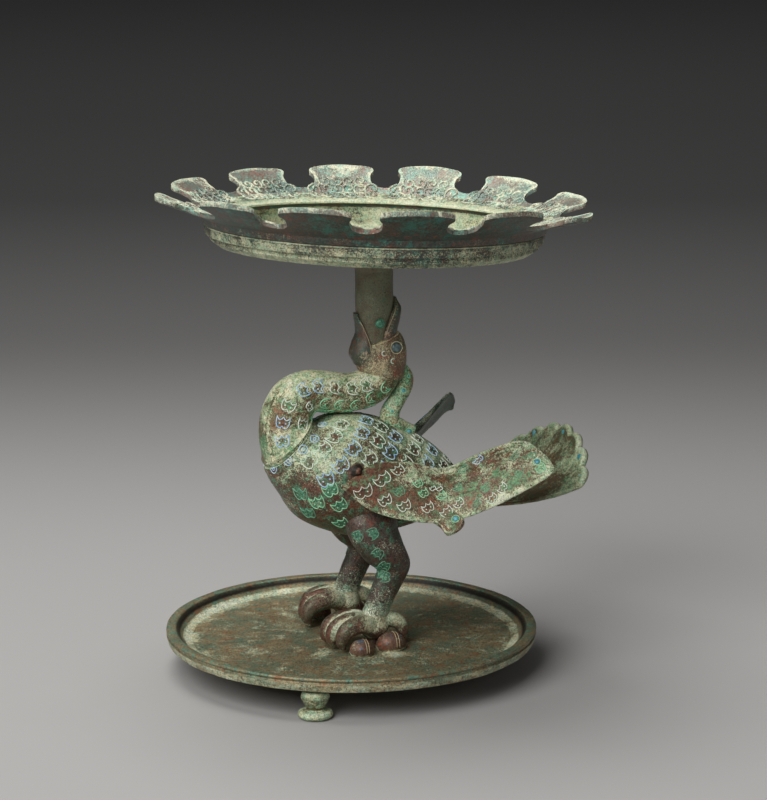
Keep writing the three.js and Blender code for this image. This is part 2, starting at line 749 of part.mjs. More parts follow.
// The stem: a round column with a tenon at each end and a flared shoulder under the basin.
function stem() {
  const shoulder = STEM_RADIUS + STEM_FLARE;
  const shaft = turned([
    [0, STEM_FOOT_Z],
    [stemRadius(STEM_FOOT_Z), STEM_FOOT_Z],
    [STEM_RADIUS, STEM_FOOT_Z + STEM_GRIP_LENGTH],
    [STEM_RADIUS, STEM_TOP_Z - 9],
    [STEM_RADIUS + 0.3 * STEM_FLARE, STEM_TOP_Z - 4.5],
    [shoulder, STEM_TOP_Z - 1.5],
    [0, STEM_TOP_Z - 1.5],
  ], 20);
  const shoulderCap = leaned(bar(shoulder, STEM_TOP_Z - 2.5, STEM_TOP_Z, 20));
  const topTenon = leaned(bar(TENON_RADIUS, STEM_TOP_Z - 4, STEM_TOP_Z + SEAM + BASIN_WALL, 16));
  const footTenon = bar(TENON_RADIUS, STEM_FOOT_Z - TENON_LENGTH, STEM_FOOT_Z + 4, 16);
  let solid = solidOf(shaft).add(solidOf(shoulderCap)).add(solidOf(topTenon)).add(solidOf(footTenon));
  solid = solid.subtract(solidOf(pinForm(SEAM)));
  return geometryOf(solid);
}

// The round-headed pin in the side of the stem, above the gape of the beak.
function pinForm(grow = 0) {
  const seat = STEM_RADIUS - 2.2;
  const radius = PIN_RADIUS + grow;
  const profile = [
    [0, seat - grow],
    [radius, seat - grow],
    [radius, STEM_RADIUS + 0.3],
    [0.8 * radius, STEM_RADIUS + 0.95],
    [0, STEM_RADIUS + 1.25],
  ];
  const pin = turned(profile, 14);
  pin.rotateX(-Math.PI / 2);
  return pin.translate(0, 0, STEM_FOOT_Z + 10.5);
}

// The basin's section: flat bottom, low band, flaring wall, and a sloping shelf inside the rim.
function basinProfile() {
  const foot = BASIN_FOOT_RADIUS;
  const rim = BASIN_RADIUS;
  const band = BASIN_BAND_HEIGHT;
  const top = BASIN_HEIGHT;
  const wall = BASIN_WALL;
  return [
    [0, 0],
    [0.84 * foot, 0],
    [0.95 * foot, 1],
    [foot, 3.6],
    [foot, band],
    [foot + 2, band + 0.2],
    [foot + 2.9, band + 0.42 * (top - band)],
    [foot + 4.4, band + 0.72 * (top - band)],
    [rim, top - LOBE_PLATE],
    [rim, top - 0.2],
    [rim - SHELF_WIDTH, top - SHELF_FALL],
    [rim - SHELF_WIDTH, top - SHELF_FALL - 0.9],
    [rim - SHELF_WIDTH + 3.8, top - SHELF_FALL - 2.4],
    [foot + 2.6 - wall, band + 0.42 * (top - band)],
    [foot - 1 - wall, band - 0.6],
    [foot - 3.5 - wall, wall + 1.4],
    [foot - 10, wall],
    [0, wall],
  ];
}

// Pitch and length of the rim in any direction, read smoothly between the lobes.
function rimShape(angle) {
  const [first, firstPitch, firstShare] = LOBES[0];
  const ring = [...LOBES, [first + 360, firstPitch, firstShare]];
  const direction = (angle - first + 720) % 360 + first;
  const k = ring.findIndex(([start]) => start > direction);
  const [fromAngle, fromPitch, fromShare] = ring[k - 1];
  const [toAngle, toPitch, toShare] = ring[k];
  const t = (direction - fromAngle) / (toAngle - fromAngle);
  const w = t * t * (3 - 2 * t);
  return {
    pitch: radians(fromPitch + (toPitch - fromPitch) * w),
    length: LOBE_LENGTH * (fromShare + (toShare - fromShare) * w),
  };
}

// One axe-shaped lobe of the rim with its share of the collar between the basin and the cut-outs.
function lobe(k) {
  const [angle, ownPitch, share] = LOBES[k];
  const before = LOBES[(k + LOBES.length - 1) % LOBES.length][0];
  const after = LOBES[(k + 1) % LOBES.length][0];
  const reach = LOBE_LENGTH * share;
  const arc = radians(1) * (BASIN_RADIUS + 3);
  const left = -((angle - before + 360) % 360) / 2 * arc;
  const right = ((after - angle + 360) % 360) / 2 * arc;
  const half = (width) => [-width / 2, width / 2];
  const rows = [
    [-2.8, [left, right + 0.4]],
    [LOBE_COLLAR, [left - 0.4, right + 0.9]],
    [LOBE_COLLAR + 1.1, half(LOBE_WAIST + 7)],
    [LOBE_COLLAR + 4, half(LOBE_WAIST + 0.6)],
    [0.7 * reach, half(LOBE_WAIST + 1.2)],
    [0.92 * reach, half(LOBE_TIP)],
    [reach, half(LOBE_TIP - 5)],
  ];
  const columns = 3;
  const rings = rows.map(([out, [from, to]], i) => {
    const over = [];
    const under = [];
    for (let j = 0; j <= columns; j += 1) {
      const across = from + (to - from) * j / columns;
      const middle = i < 2 ? BASIN_RADIUS + 3 : BASIN_RADIUS - 0.6 + out * Math.cos(radians(ownPitch));
      const turn = radians(angle) + across / middle;
      const { pitch, length } = rimShape(turn * 180 / Math.PI);
      const outwards = i < 4 ? out : out * length / reach;
      const radius = BASIN_RADIUS - 0.6 + outwards * Math.cos(pitch);
      const z = BASIN_HEIGHT - 0.3 + outwards * Math.sin(pitch);
      const low = radius + 0.3 * LOBE_PLATE * Math.sin(pitch);
      over.push(point(radius * Math.cos(turn), radius * Math.sin(turn), z));
      under.unshift(point(low * Math.cos(turn), low * Math.sin(turn), z - LOBE_PLATE * (1 - 0.03 * i)));
    }
    return [...over, ...under];
  });
  return skinRings(rings);
}

function basin() {
  let solid = solidOf(turned(basinProfile(), 40));
  for (let k = 0; k < LOBES.length; k += 1) solid = solid.add(solidOf(lobe(k)));
  solid = solid.subtract(solidOf(bar(TENON_RADIUS + SEAM, -2, BASIN_WALL + 2, 16)));
  return leaned(geometryOf(solid).translate(0, 0, STEM_TOP_Z + SEAM));
}

function trayWithSockets() {
  let solid = solidOf(tray());
  [1, -1].forEach((side) => {
    const socket = bar(PEG_RADIUS + SEAM, FOOT_HEIGHT - 2, TRAY_FLOOR_Z + 2, 12);
    solid = solid.subtract(solidOf(socket.translate(CLAW_AHEAD, side * LEG_SPACING / 2, 0)));
  });
  return geometryOf(solid);
}

const SIDES = [['left', 1], ['right', -1]];

addPart('base_tray', trayWithSockets(), 'brown');
for (let k = 0; k < FOOT_COUNT; k += 1) {
  const angle = Math.PI / FOOT_COUNT + 2 * Math.PI * k / FOOT_COUNT;
  addPart(`tray_foot_${k + 1}`, trayFoot(angle), 'green');
}
addPart('bird_body', bodyForm(), 'brown');
addPart('bird_neck', neck(), 'green');
addPart('bird_head', head(), 'brown');
addPart('beak_upper', beak(Math.PI, UPPER_BEAK), 'olive');
addPart('beak_lower', beak(0, LOWER_BEAK), 'green');
addPart('crest_plume', plume(), 'green');
addPart('tail_fan', tail(), 'olive');
SIDES.forEach(([name, side]) => {
  addPart(`eye_${name}`, eyeStud(side, EYE_RADIUS, EYE_SOCKET_DEPTH), 'teal');
  addPart(`wing_${name}`, wing(side), 'green');
  addPart(`leg_${name}`, leg(side), 'brown');
  addPart(`claw_${name}`, claw(side), 'pale');
});
SIDES.forEach(([name, side]) => {
  const y = side * LEG_SPACING / 2;
  const foot = solidOf(claw(side));
  const front = coil(CLAW_AHEAD + COIL_FRONT, y + side * COIL_FRONT_OUT, COIL_RADIUS, COIL_LENGTH).subtract(foot);
  addPart(`serpent_front_${name}`, geometryOf(front), 'olive');
  const hind = coil(CLAW_AHEAD - COIL_HIND, y + side * COIL_HIND_OUT, 1.15 * COIL_RADIUS, 1.24 * COIL_LENGTH).subtract(foot);
  addPart(`serpent_hind_${name}`, geometryOf(hind), 'olive');
});
addPart('stem', stem(), 'teal');
addPart('stem_pin', pinForm(), 'green');
addPart('basin', basin(), 'teal');

export default parts;
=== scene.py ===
# %% [markdown]
# # A bronze basin on a bird stand
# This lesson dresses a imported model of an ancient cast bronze: a bird that walks on a round tray and
# carries a shallow basin in its beak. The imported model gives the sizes. Here each casting is modelled
# again with smooth skin, rounded edges and relief, gets its inlaid wires, and a corroded surface.
# The bronze is written in millimetres and scaled to metres when a piece is finished. The stage and
# the lamps are written in metres.

import json
import math

import bmesh
import bpy
from mathutils import Matrix, Vector, noise
from mathutils.bvhtree import BVHTree

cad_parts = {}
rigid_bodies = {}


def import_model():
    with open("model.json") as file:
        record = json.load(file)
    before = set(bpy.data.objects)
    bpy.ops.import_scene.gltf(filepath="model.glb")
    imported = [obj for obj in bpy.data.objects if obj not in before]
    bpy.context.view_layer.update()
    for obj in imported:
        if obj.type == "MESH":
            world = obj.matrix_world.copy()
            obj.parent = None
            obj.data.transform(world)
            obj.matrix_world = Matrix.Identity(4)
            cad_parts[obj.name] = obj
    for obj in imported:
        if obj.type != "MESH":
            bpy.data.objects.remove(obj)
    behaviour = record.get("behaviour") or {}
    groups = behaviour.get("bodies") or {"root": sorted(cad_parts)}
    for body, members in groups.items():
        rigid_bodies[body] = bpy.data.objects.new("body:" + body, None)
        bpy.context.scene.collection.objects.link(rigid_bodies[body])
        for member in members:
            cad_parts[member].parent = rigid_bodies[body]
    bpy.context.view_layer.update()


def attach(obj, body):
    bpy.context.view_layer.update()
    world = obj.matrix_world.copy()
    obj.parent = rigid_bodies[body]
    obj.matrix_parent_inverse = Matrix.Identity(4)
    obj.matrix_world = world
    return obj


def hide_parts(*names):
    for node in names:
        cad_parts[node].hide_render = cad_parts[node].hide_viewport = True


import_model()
MM = 0.001

# %% [markdown]
# ## The camera
# The photograph was taken with a long lens from a little above the basin. A long lens keeps the
# far side of the basin nearly as wide as its near side, so the camera stands more than a metre away.
# It could be placed by eye. Its place was worked out instead from the ellipses of the tray and the
# basin, which are circles on the real object, because that settles every other proportion.

# %% Camera
LENS, SENSOR = 108.64, 36
CAMERA_PLACE = Vector((344.757, 1013.780, 342.536))
LOOK_DOWN, ROLL = math.radians(11.577), math.radians(-0.112)
scene = bpy.context.scene


def put(name, data):
    """Adds an object to the scene."""
    obj = bpy.data.objects.new(name, data)
    scene.collection.objects.link(obj)
    return obj


camera_data = bpy.data.cameras.new("camera")
camera_data.lens = LENS
camera_data.sensor_width = SENSOR
camera_data.clip_start, camera_data.clip_end = 0.05, 20
camera = put("camera", camera_data)
ahead = Vector((-0.3256, -0.9455, 0)).normalized() * math.cos(LOOK_DOWN)
ahead -= Vector((0, 0, math.sin(LOOK_DOWN)))
camera.location = CAMERA_PLACE * MM
aimed = ahead.to_track_quat("-Z", "Y") @ Matrix.Rotation(ROLL, 4, "Z").to_quaternion()
camera.rotation_euler = aimed.to_euler()
scene.camera = camera
print("camera looks along", [round(c, 3) for c in ahead])

# %% [markdown]
# ## Reading short lists as smooth curves
# A maker's drawing gives a few measured stations along a limb. `along` reads a smooth value between
# the entries of such a list, so a limb needs only as many stations as its shape has turns. `mix` goes
# straight from one value to another, `bump` is one smooth hill, and `grain` is smooth noise.

# %% Smooth lists
def along(values, t):
    """A smooth value between the entries of a short list, for t from 0 to 1."""
    last = len(values) - 1
    place = t * last
    i = min(int(place), last - 1)
    w = place - i
    p0, p1, p2, p3 = (values[min(max(k, 0), last)] for k in (i - 1, i, i + 1, i + 2))
    v0, v1 = (p2 - p0) / 2, (p3 - p1) / 2
    return (2 * p1 - 2 * p2 + v0 + v1) * w**3 + (3 * p2 - 3 * p1 - 2 * v0 - v1) * w**2 + v0 * w + p1


def mix(a, b, t):
    return a + (b - a) * t


def clamped(x):
    """x, held between 0 and 1."""
    return max(0.0, min(1.0, x))


def bump(x, centre, width):
    """A smooth hill of height 1 at centre that fades to 0 within width."""
    d = abs(x - centre) / width
    return (1 - d * d) ** 2 if d < 1 else 0.0


def grain(p, size, seed=0.0):
    """Smooth noise from -1 to 1 whose bumps are about size millimetres apart."""
    return noise.noise(Vector(p) / size + Vector((seed, 2.3 * seed, -seed)))


print("three quarters along 0, 1 and 4:", along([0, 1, 4], 0.75))

# %% [markdown]
# ## From a mesh to a finished piece
# Every piece ends in the same way: doubles are merged, faces are turned outwards, millimetres become
# metres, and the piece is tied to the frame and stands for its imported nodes.

# %% Finish a piece
SIDES = ((1, "left"), (-1, "right"))
pieces = {}


def mesh_from(name, bm):
    """Turns a bmesh into a mesh and lets the bmesh go."""
    mesh = bpy.data.meshes.new(name)
    bm.to_mesh(mesh)
    bm.free()
    return mesh


def finish_piece(name, bm, material, nodes=(), clean=True):
    """Makes a bmesh in millimetres a piece of the dressed model."""
    if clean:
        bmesh.ops.remove_doubles(bm, verts=bm.verts, dist=0.005)
        bmesh.ops.dissolve_degenerate(bm, edges=bm.edges, dist=0.002)
    bmesh.ops.recalc_face_normals(bm, faces=bm.faces)
    bmesh.ops.scale(bm, vec=(MM, MM, MM), verts=bm.verts)
    mesh = mesh_from(name, bm)
    mesh.materials.append(material)
    for polygon in mesh.polygons:
        polygon.use_smooth = True
    obj = put(name, mesh)
    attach(obj, "root")
    if nodes:
        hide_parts(*nodes)
    pieces[name] = obj
    print(f"{name}: {len(mesh.polygons)} faces")
    return obj


print("a piece is scaled by", MM)

# %% [markdown]
# ## Skinning a limb
# The founder first shaped each limb in clay or wax. A subdivided cage could give such a form, but its
# sections are hard to set to measured sizes. Here a limb starts as one circle of points, which is
# extruded edge by edge: each new ring then moves to its place on the next section. Both ends are
# closed with a fan, so the shell stays one closed body.

# %% Skin a list of rings
def ring_edges(bm, ring):
    """The edges of a closed ring of vertices."""
    return [bm.edges.get(pair) for pair in zip(ring, ring[1:] + ring[:1])]


def skin(rings):
    """Extrudes a first ring through a list of rings of points, in millimetres, and closes both ends."""
    bm = bmesh.new()
    ring = bmesh.ops.create_circle(bm, segments=len(rings[0]), radius=1)["verts"]
    rows = [ring]
    for _ in rings[1:]:
        geom = bmesh.ops.extrude_edge_only(bm, edges=ring_edges(bm, ring))["geom"]
        made = {g for g in geom if isinstance(g, bmesh.types.BMVert)}
        ring = [next(e.other_vert(v) for e in v.link_edges if e.other_vert(v) in made) for v in ring]
        rows.append(ring)
    for row, points in zip(rows, rings):
        for vert, point in zip(row, points):
            vert.co = point
    for row in (rows[0], rows[-1]):
        cap = bmesh.ops.edgeloop_fill(bm, edges=ring_edges(bm, row))["faces"]
        bmesh.ops.poke(bm, faces=cap)
    return bm


def roughen(bm, amount, size, seed=0.0):
    """Moves the skin in and out a little, as a worn and corroded casting is."""
    bm.normal_update()
    moves = [(v, v.normal * amount * grain(v.co, size, seed)) for v in bm.verts]
    for v, move in moves:
        v.co += move


sample = skin([[Vector((math.cos(a), math.sin(a), z)) for a in (0, 1.57, 3.14, 4.71)] for z in (0, 1, 2)])
print("a skin of three rings of four points:", len(sample.faces), "faces")
sample.free()

# %% [markdown]
# ## The sections of a limb
# Legs, neck and body are oval in section and bend in one plane only. So a station needs six numbers:
# its place, the way it is turned, and its half depth and half width.

# %% Limb sections
def limb_rings(stations, rows, sides, relief=None):
    """Rings of a limb from its stations. relief(t, angle) adds to the radius."""
    columns = list(zip(*stations))
    rings = []
    for i in range(rows + 1):
        t = i / rows
        x, y, z, turn, depth, width = (along(c, t) for c in columns)
        turn = math.radians(turn)
        across = Vector((-math.sin(turn), 0, math.cos(turn)))
        centre = Vector((x, y, z))
        ring = []
        for j in range(sides):
            a = 2 * math.pi * j / sides
            more = relief(t, a) if relief else 0
            sideways = Vector((0, (width + more) * math.sin(a), 0))
            ring.append(centre + across * (depth + more) * math.cos(a) + sideways)
        rings.append(ring)
    return rings


def limb_place(stations, t, a):
    """The place on a limb's skin at t along it and at angle a round it."""
    x, y, z, turn, depth, width = (along(c, t) for c in zip(*stations))
    turn = math.radians(turn)
    up = depth * math.cos(a)
    return Vector((x - math.sin(turn) * up, y + width * math.sin(a), z + math.cos(turn) * up))


print("top of a limb of half depth 2:", limb_place([[0, 0, 0, 0, 2, 3], [9, 0, 0, 0, 2, 3]], 0.5, 0)[:])

# %% [markdown]
# ## Turned forms
# The tray, its feet, the stem and the basin are round. Each starts as a profile of a few points,
# whose corners are rounded with a vertex bevel, and is then spun a full turn about its axis. That
# keeps the grooves and lips of the section as sharp or as soft as they were cast.

# %% Spin a profile
def spun(profile, steps, rounding=0.0, centre=(0, 0), segments=3):
    """Spins a profile of (radius, height) pairs round an upright axis through centre."""
    bm = bmesh.new()
    verts = [bm.verts.new((r, 0, z)) for r, z in profile]
    for a, b in zip(verts, verts[1:]):
        bm.edges.new((a, b))
    if rounding:
        bmesh.ops.bevel(bm, geom=verts[1:-1], offset=rounding, offset_type="OFFSET", segments=segments,
                        profile=0.5, affect="VERTICES", material=-1, clamp_overlap=True)
    bmesh.ops.spin(bm, geom=bm.verts[:] + bm.edges[:], cent=(0, 0, 0), axis=(0, 0, 1), steps=steps,
                   angle=2 * math.pi, use_merge=True)
    bmesh.ops.remove_doubles(bm, verts=bm.verts, dist=0.001)
    bmesh.ops.translate(bm, vec=(centre[0], centre[1], 0), verts=bm.verts)
    return bm


sample = spun([(0, 0), (2, 0), (2, 1), (0, 1)], 12)
print("a spun disc of twelve steps:", len(sample.faces), "faces")
sample.free()

# %% [markdown]
# ## Colours and nodes
# Colours are written as sRGB hex values and turned to linear light in one place. One small function
# adds a node with its settings and links. A layer of corrosion shows where a sum of patterns passes
# a threshold, so `mask` adds up terms and makes the sum 0 below it and 1 above it.

# %% Colours and the node helper
def linear(hex_text):
    """An sRGB hex colour as linear light, with alpha 1."""
    out = []
    for k in (1, 3, 5):
        c = int(hex_text[k:k + 2], 16) / 255
        out.append(c / 12.92 if c <= 0.04045 else ((c + 0.055) / 1.055) ** 2.4)
    return (*out, 1.0)


def add(tree, kind, settings=(), **inputs):
    """Adds a node. Settings are its own properties; inputs are values, or sockets to link from."""
    made = tree.nodes.new(kind)
    for key, value in dict(settings).items():
        setattr(made, key, value)
    for key, value in inputs.items():
        numbered = key[0] == "i" and key[1:].isdigit()
        socket = made.inputs[int(key[1:]) if numbered else key.replace("_", " ")]
        if isinstance(value, bpy.types.NodeSocket):
            tree.links.new(value, socket)
        else:
            socket.default_value = value
    return made


def total(tree, *terms):
    """The sum of (value, weight) terms as one socket."""
    summed = 0.0
    for value, weight in terms:
        summed = add(tree, "ShaderNodeMath", {"operation": "MULTIPLY_ADD"},
                     i0=value, i1=weight, i2=summed).outputs[0]
    return summed


def mask(tree, low, high, *terms):
    """0 where the sum of the (value, weight) terms is below low, 1 above high, and smooth between."""
    return add(tree, "ShaderNodeMapRange", {"interpolation_type": "SMOOTHSTEP"}, Value=total(tree, *terms),
               From_Min=low, From_Max=high).outputs["Result"]


def blend(tree, where, below, above):
    """One colour below and one above, as a mask says."""
    return add(tree, "ShaderNodeMix", {"data_type": "RGBA"}, i0=where, i6=below, i7=above).outputs[2]


def noise_at(tree, coords, size, detail, roughness, seed=0.0):
    """Noise with a mean of 0.5 and bumps about size millimetres across. The seed gives another pattern."""
    return add(tree, "ShaderNodeTexNoise", {"noise_dimensions": "4D"}, Vector=coords, W=seed,
               Scale=1 / (size * MM), Detail=detail, Roughness=roughness, Distortion=0.0).outputs["Fac"]


def new_material(name):
    """A material with its node tree, its shader and the Object coordinates."""
    material = bpy.data.materials.new(name)
    material.use_nodes = True
    tree = material.node_tree
    return material, tree, tree.nodes["Principled BSDF"], add(tree, "ShaderNodeTexCoord").outputs["Object"]


print("mid grey as linear light:", [round(c, 3) for c in linear("#808080")])

# %% [markdown]
# ## The material: bronze after two thousand years in the ground
# Cast leaded tin bronze corrodes in layers. On the metal lies a thin skin of red cuprite, over it
# green malachite and blue-green salts, and on raised and open places a pale crust of lime and earth.
# A picture of real crust could be wrapped round the object, but it would stretch and repeat. So the
# layers are mixed with noise whose scale is set from real sizes in millimetres. The finest noise,
# half a millimetre across, weighs as much as the broad ones, so each layer ends in a dust of specks.
# Two attributes of the mesh shift the thresholds: `crust` for pale lime, `salts` for green. Far below
# zero, `crust` turns the colour near black, which is painted shade in the body's hole, under lips and
# in a groove, and dirt in the rim's hollows. A last layer of near white specks is painted glints.

# %% Corroded bronze
# Each pattern has the size of its bumps in millimetres, its detail, its roughness and a shift of the seed.
PATTERNS = {
    "fine": (0.45, 4, 0.7, 0), "speck": (1.1, 4, 0.7, 5), "broad": (13, 5, 0.6, 1),
    "reds": (4.6, 5, 0.65, 2), "greens": (3.6, 5, 0.65, 3), "patches": (6.5, 5, 0.6, 4),
    "lime": (3.1, 4, 0.6, 6), "dirt": (0.7, 5, 0.75, 7), "painted_glints": (0.5, 3, 0.65, 8),
}


def corroded(name, ground, second, red, green, crust, red_tone, green_tone, crust_tone, crust_second,
             gloss=0.5, grit=1.0, seed=0.0, shade=1.0, sparkle=1.0):
    """Two tones of metal skin under red, green and lime. red, green and crust say how much of each shows."""
    material, tree, shader, coords = new_material(name)
    of = {key: noise_at(tree, coords, size, detail, roughness, seed + shift)
          for key, (size, detail, roughness, shift) in PATTERNS.items()}
    crust_and_shade = add(tree, "ShaderNodeAttribute", {"attribute_name": "crust"}).outputs["Fac"]
    salts = add(tree, "ShaderNodeAttribute", {"attribute_name": "salts"}).outputs["Fac"]
    fine, speck, patches = of["fine"], of["speck"], of["patches"]
    second_mask = mask(tree, 0.66, 0.86, (of["broad"], 1.0), (speck, 0.5))
    red_mask = mask(tree, 1.06 - 0.3 * red, 1.2 - 0.3 * red, (of["reds"], 1.0), (fine, 0.45), (speck, 0.35))
    green_mask = mask(tree, 1.09 - 0.3 * green, 1.21 - 0.3 * green,
                      (of["greens"], 1.0), (fine, 0.55), (speck, 0.3), (salts, 0.35))
    lime_mask = mask(tree, 1.14 - 0.35 * crust, 1.27 - 0.35 * crust,
                     (patches, 0.52), (fine, 0.93), (speck, 0.45), (crust_and_shade, 0.45))
    lime_clouds = mask(tree, 0.42, 0.6, (of["lime"], 1.0))
    lime_tone = blend(tree, lime_clouds, linear(crust_tone), linear(crust_second))
    # Near white specks where this mask is high are painted highlight glints; sparkle sets how much shows.
    painted_glints = mask(tree, 0.88, 1.0, (of["painted_glints"], 1.0), (patches, 0.5), (crust_and_shade, 0.22))
    colour = linear(ground)
    for where, tone in ((second_mask, linear(second)), (red_mask, linear(red_tone)),
                        (green_mask, linear(green_tone)), (lime_mask, lime_tone),
                        (total(tree, (painted_glints, sparkle)), linear("#eef1da"))):
        colour = blend(tree, where, colour, tone)
    clean = mask(tree, 0.56, 0.76, (of["dirt"], 1.0), (speck, 0.4))
    colour = add(tree, "ShaderNodeMix", {"data_type": "RGBA", "blend_type": "MULTIPLY"}, i0=0.75 * shade,
                 i6=colour, i7=blend(tree, clean, linear("#5e5850"), linear("#ffffff"))).outputs[2]
    # Where crust is far below zero the colour turns near black: painted shade, and dirt in the rim's hollows.
    raised = mask(tree, -1.0, 0.0, (crust_and_shade, 1.0), (speck, 0.8))
    colour = blend(tree, raised, linear("#2b2620"), colour)
    tree.links.new(colour, shader.inputs["Base Color"])
    rough = total(tree, (lime_mask, 0.12), (green_mask, 0.06), (speck, 0.35), (1.0, 0.42 - 0.3 * gloss))
    tree.links.new(rough, shader.inputs["Roughness"])
    tree.links.new(total(tree, (lime_mask, -0.4), (1.0, 0.4)), shader.inputs["Metallic"])
    height = total(tree, (patches, 0.5), (speck, 0.8), (fine, 0.35), (lime_mask, 0.25))
    pits = add(tree, "ShaderNodeBump", {}, Strength=0.6 * grit, Distance=0.5 * MM, Height=height)
    tree.links.new(pits.outputs["Normal"], shader.inputs["Normal"])
    return material


print("patterns in each finish:", ", ".join(PATTERNS))

# %% [markdown]
# ## The finishes of the castings
# The castings have aged differently, so each has its own share of red, green and lime. The tray and
# the bird are brown and red, the neck and rim are pale with lime, and the stem is smooth, dark and a
# little glossy. One shared material would lose that. The far wing's finish is the wing's bronze
# painted darker, with little lime, as painted shade. Each row gives the two tones of the skin, the
# shares of red, green and lime, and the tones of these.

# %% The finishes
FINISH = {
    "tray": corroded("leaded_bronze_tray_patina", "#a08f6c", "#7a866c", 0.42, 0.34, 0.24, "#a36c48",
                     "#6f9a84", "#cfc79c", "#a8bd9e", seed=1, sparkle=0.6),
    "foot": corroded("leaded_bronze_foot_patina", "#6d7656", "#7b6a4a", 0.3, 0.6, 0.5, "#9a6a45",
                     "#63a080", "#cfd2a6", "#a9cea8", seed=2),
    "body": corroded("leaded_bronze_body_patina", "#77584a", "#66684f", 0.48, 0.5, 0.33, "#965e49",
                     "#67a281", "#d6dcb2", "#a0c89e", seed=3, sparkle=0.8),
    "neck": corroded("leaded_bronze_neck_patina", "#77704f", "#8a5c44", 0.5, 0.55, 0.4, "#a06244",
                     "#69a073", "#e6e2b8", "#b2cfa0", seed=4),
    "head": corroded("leaded_bronze_head_patina", "#8c6555", "#75705c", 0.5, 0.3, 0.3, "#a05c4d",
                     "#6a8c74", "#dcc89e", "#c2bb94", seed=5, shade=0.6, sparkle=0.4),
    "beak": corroded("leaded_bronze_beak_patina", "#6d5d51", "#4f5a4e", 0.45, 0.22, 0.0, "#855447",
                     "#5a7c70", "#ceb492", "#a89c80", seed=6, shade=0.6, sparkle=0.2),
    "plume": corroded("leaded_bronze_plume_patina", "#8a7854", "#74905f", 0.55, 0.62, 0.58, "#b05c42",
                      "#6cc298", "#d8deb0", "#a4dcb2", seed=7),
    "wing": corroded("leaded_bronze_wing_patina", "#7d5a49", "#6f6a4e", 0.55, 0.5, 0.27, "#9b5f47",
                     "#6f9a70", "#dde0b8", "#a9c89a", seed=8),
    # Painted shade: the far wing is the wing's bronze made darker, with little lime.
    "far_wing_painted_shade": corroded("leaded_bronze_far_wing_patina", "#4a5044", "#42503f", 0.15, 0.45, 0.05, "#5e4232",
                         "#4a7560", "#8c9478", "#6d8a74", seed=9),
    "tail": corroded("leaded_bronze_tail_patina", "#806750", "#6e7258", 0.4, 0.48, 0.32, "#96653f",
                     "#709c72", "#b8c498", "#94b88e", seed=10, shade=0.8, sparkle=0.6),
    "thigh": corroded("leaded_bronze_thigh_patina", "#5c4941", "#54544a", 0.4, 0.38, 0.1, "#774938",
                      "#55896e", "#a6ad8c", "#84aa8c", seed=11),
    "claw": corroded("leaded_bronze_claw_patina", "#7a5648", "#6b6350", 0.4, 0.3, 0.24, "#925442",
                     "#6b9878", "#d0caa4", "#acbc96", seed=12, sparkle=0.6),
    "serpent": corroded("leaded_bronze_serpent_patina", "#80604e", "#75594a", 0.42, 0.25, 0.12, "#a65c42",
                        "#6294b0", "#d6d0a8", "#a8bca0", seed=13, shade=0.7, sparkle=0.4),
    "stem": corroded("leaded_bronze_stem_patina", "#787b64", "#6e6450", 0.2, 0.2, 0.0, "#75503e",
                     "#577863", "#8d8f74", "#7c8e74", gloss=0.9, grit=0.5, seed=14, shade=0.6, sparkle=0.3),
    "pin": corroded("verdigris_pin_patina", "#55957a", "#66a486", 0.1, 0.6, 0.1, "#6a4a38",
                    "#6ab090", "#a2cca8", "#98ceae", gloss=0.8, seed=16),
    "basin": corroded("leaded_bronze_basin_patina", "#4c5952", "#62544a", 0.4, 0.42, 0.2, "#8a5a4c",
                      "#4b7c70", "#cccba2", "#a9bf9a", seed=15, shade=0.8, sparkle=0.5),
    "rim": corroded("leaded_bronze_rim_patina", "#978577", "#83988e", 0.4, 0.4, 0.34, "#a57a6c",
                    "#8db8a6", "#e2e0c2", "#b6d0b8", seed=17, shade=0.6, sparkle=0.4),
}
print("finishes:", len(FINISH))

# %% [markdown]
# ## Crust on what stands out
# Crust and wear gather on raised edges and on upward faces. The attribute `crust` is worked out for
# each vertex from how far it stands above its neighbours and how much it faces up. The attribute
# `salts` marks hollows and other places where green salts grew. Painting by hand would give the same,
# but a rule can be read, changed and run again.

# %% Paint the crust and salts attributes
def paint(obj, up=0.3, edge=1.0, crust=None, salts=None):
    """crust and salts are functions of a place in millimetres and of its normal."""
    bm = bmesh.new()
    bm.from_mesh(obj.data)
    bm.normal_update()
    lime, green = [], []
    for v in bm.verts:
        near = [e.other_vert(v).co for e in v.link_edges]
        middle = sum(near, Vector()) / max(1, len(near))
        reach = sum((p - v.co).length for p in near) / max(1, len(near))
        stands = (v.co - middle).dot(v.normal) / max(reach, 1e-7)
        place = v.co / MM
        extra = crust(place, v.normal) if crust else 0
        lime.append(up * max(0, v.normal.z) + edge * max(-0.4, min(1.0, 4 * stands)) + extra)
        green.append(salts(place, v.normal) if salts else 0.0)
    bm.free()
    for name, values in (("crust", lime), ("salts", green)):
        obj.data.attributes.new(name, "FLOAT", "POINT").data.foreach_set("value", values)
    print(f"{obj.name}: crust from {min(lime):.2f} to {max(lime):.2f}")


# %% [markdown]
# ## The tray
# The tray is a flat dish on three feet. Its rim has a groove outside and a broad lip, and inside a
# cove runs down to the floor. It could be a cylinder with cuts, but its groove, lip and cove are one
# section all the way round, so it is one spun profile with rounded corners, roughened a little. Lime
# lies in the cove, along the lip and round the claws.

# %% Tray
TRAY_AHEAD, TRAY_FLOOR = 11.4, 14.2
tray_profile = [
    (0, 11.5), (69, 11.5), (79, 12), (84, 13.7), (84.9, 17), (84.1, 17.5), (84.1, 18.2), (84.95, 18.7),
    (84.6, 19.75), (80.8, 19.75), (80.1, 19.2), (78.9, 17.6), (76.3, 15.3), (73.3, TRAY_FLOOR),
    (45, TRAY_FLOOR), (0, TRAY_FLOOR),
]


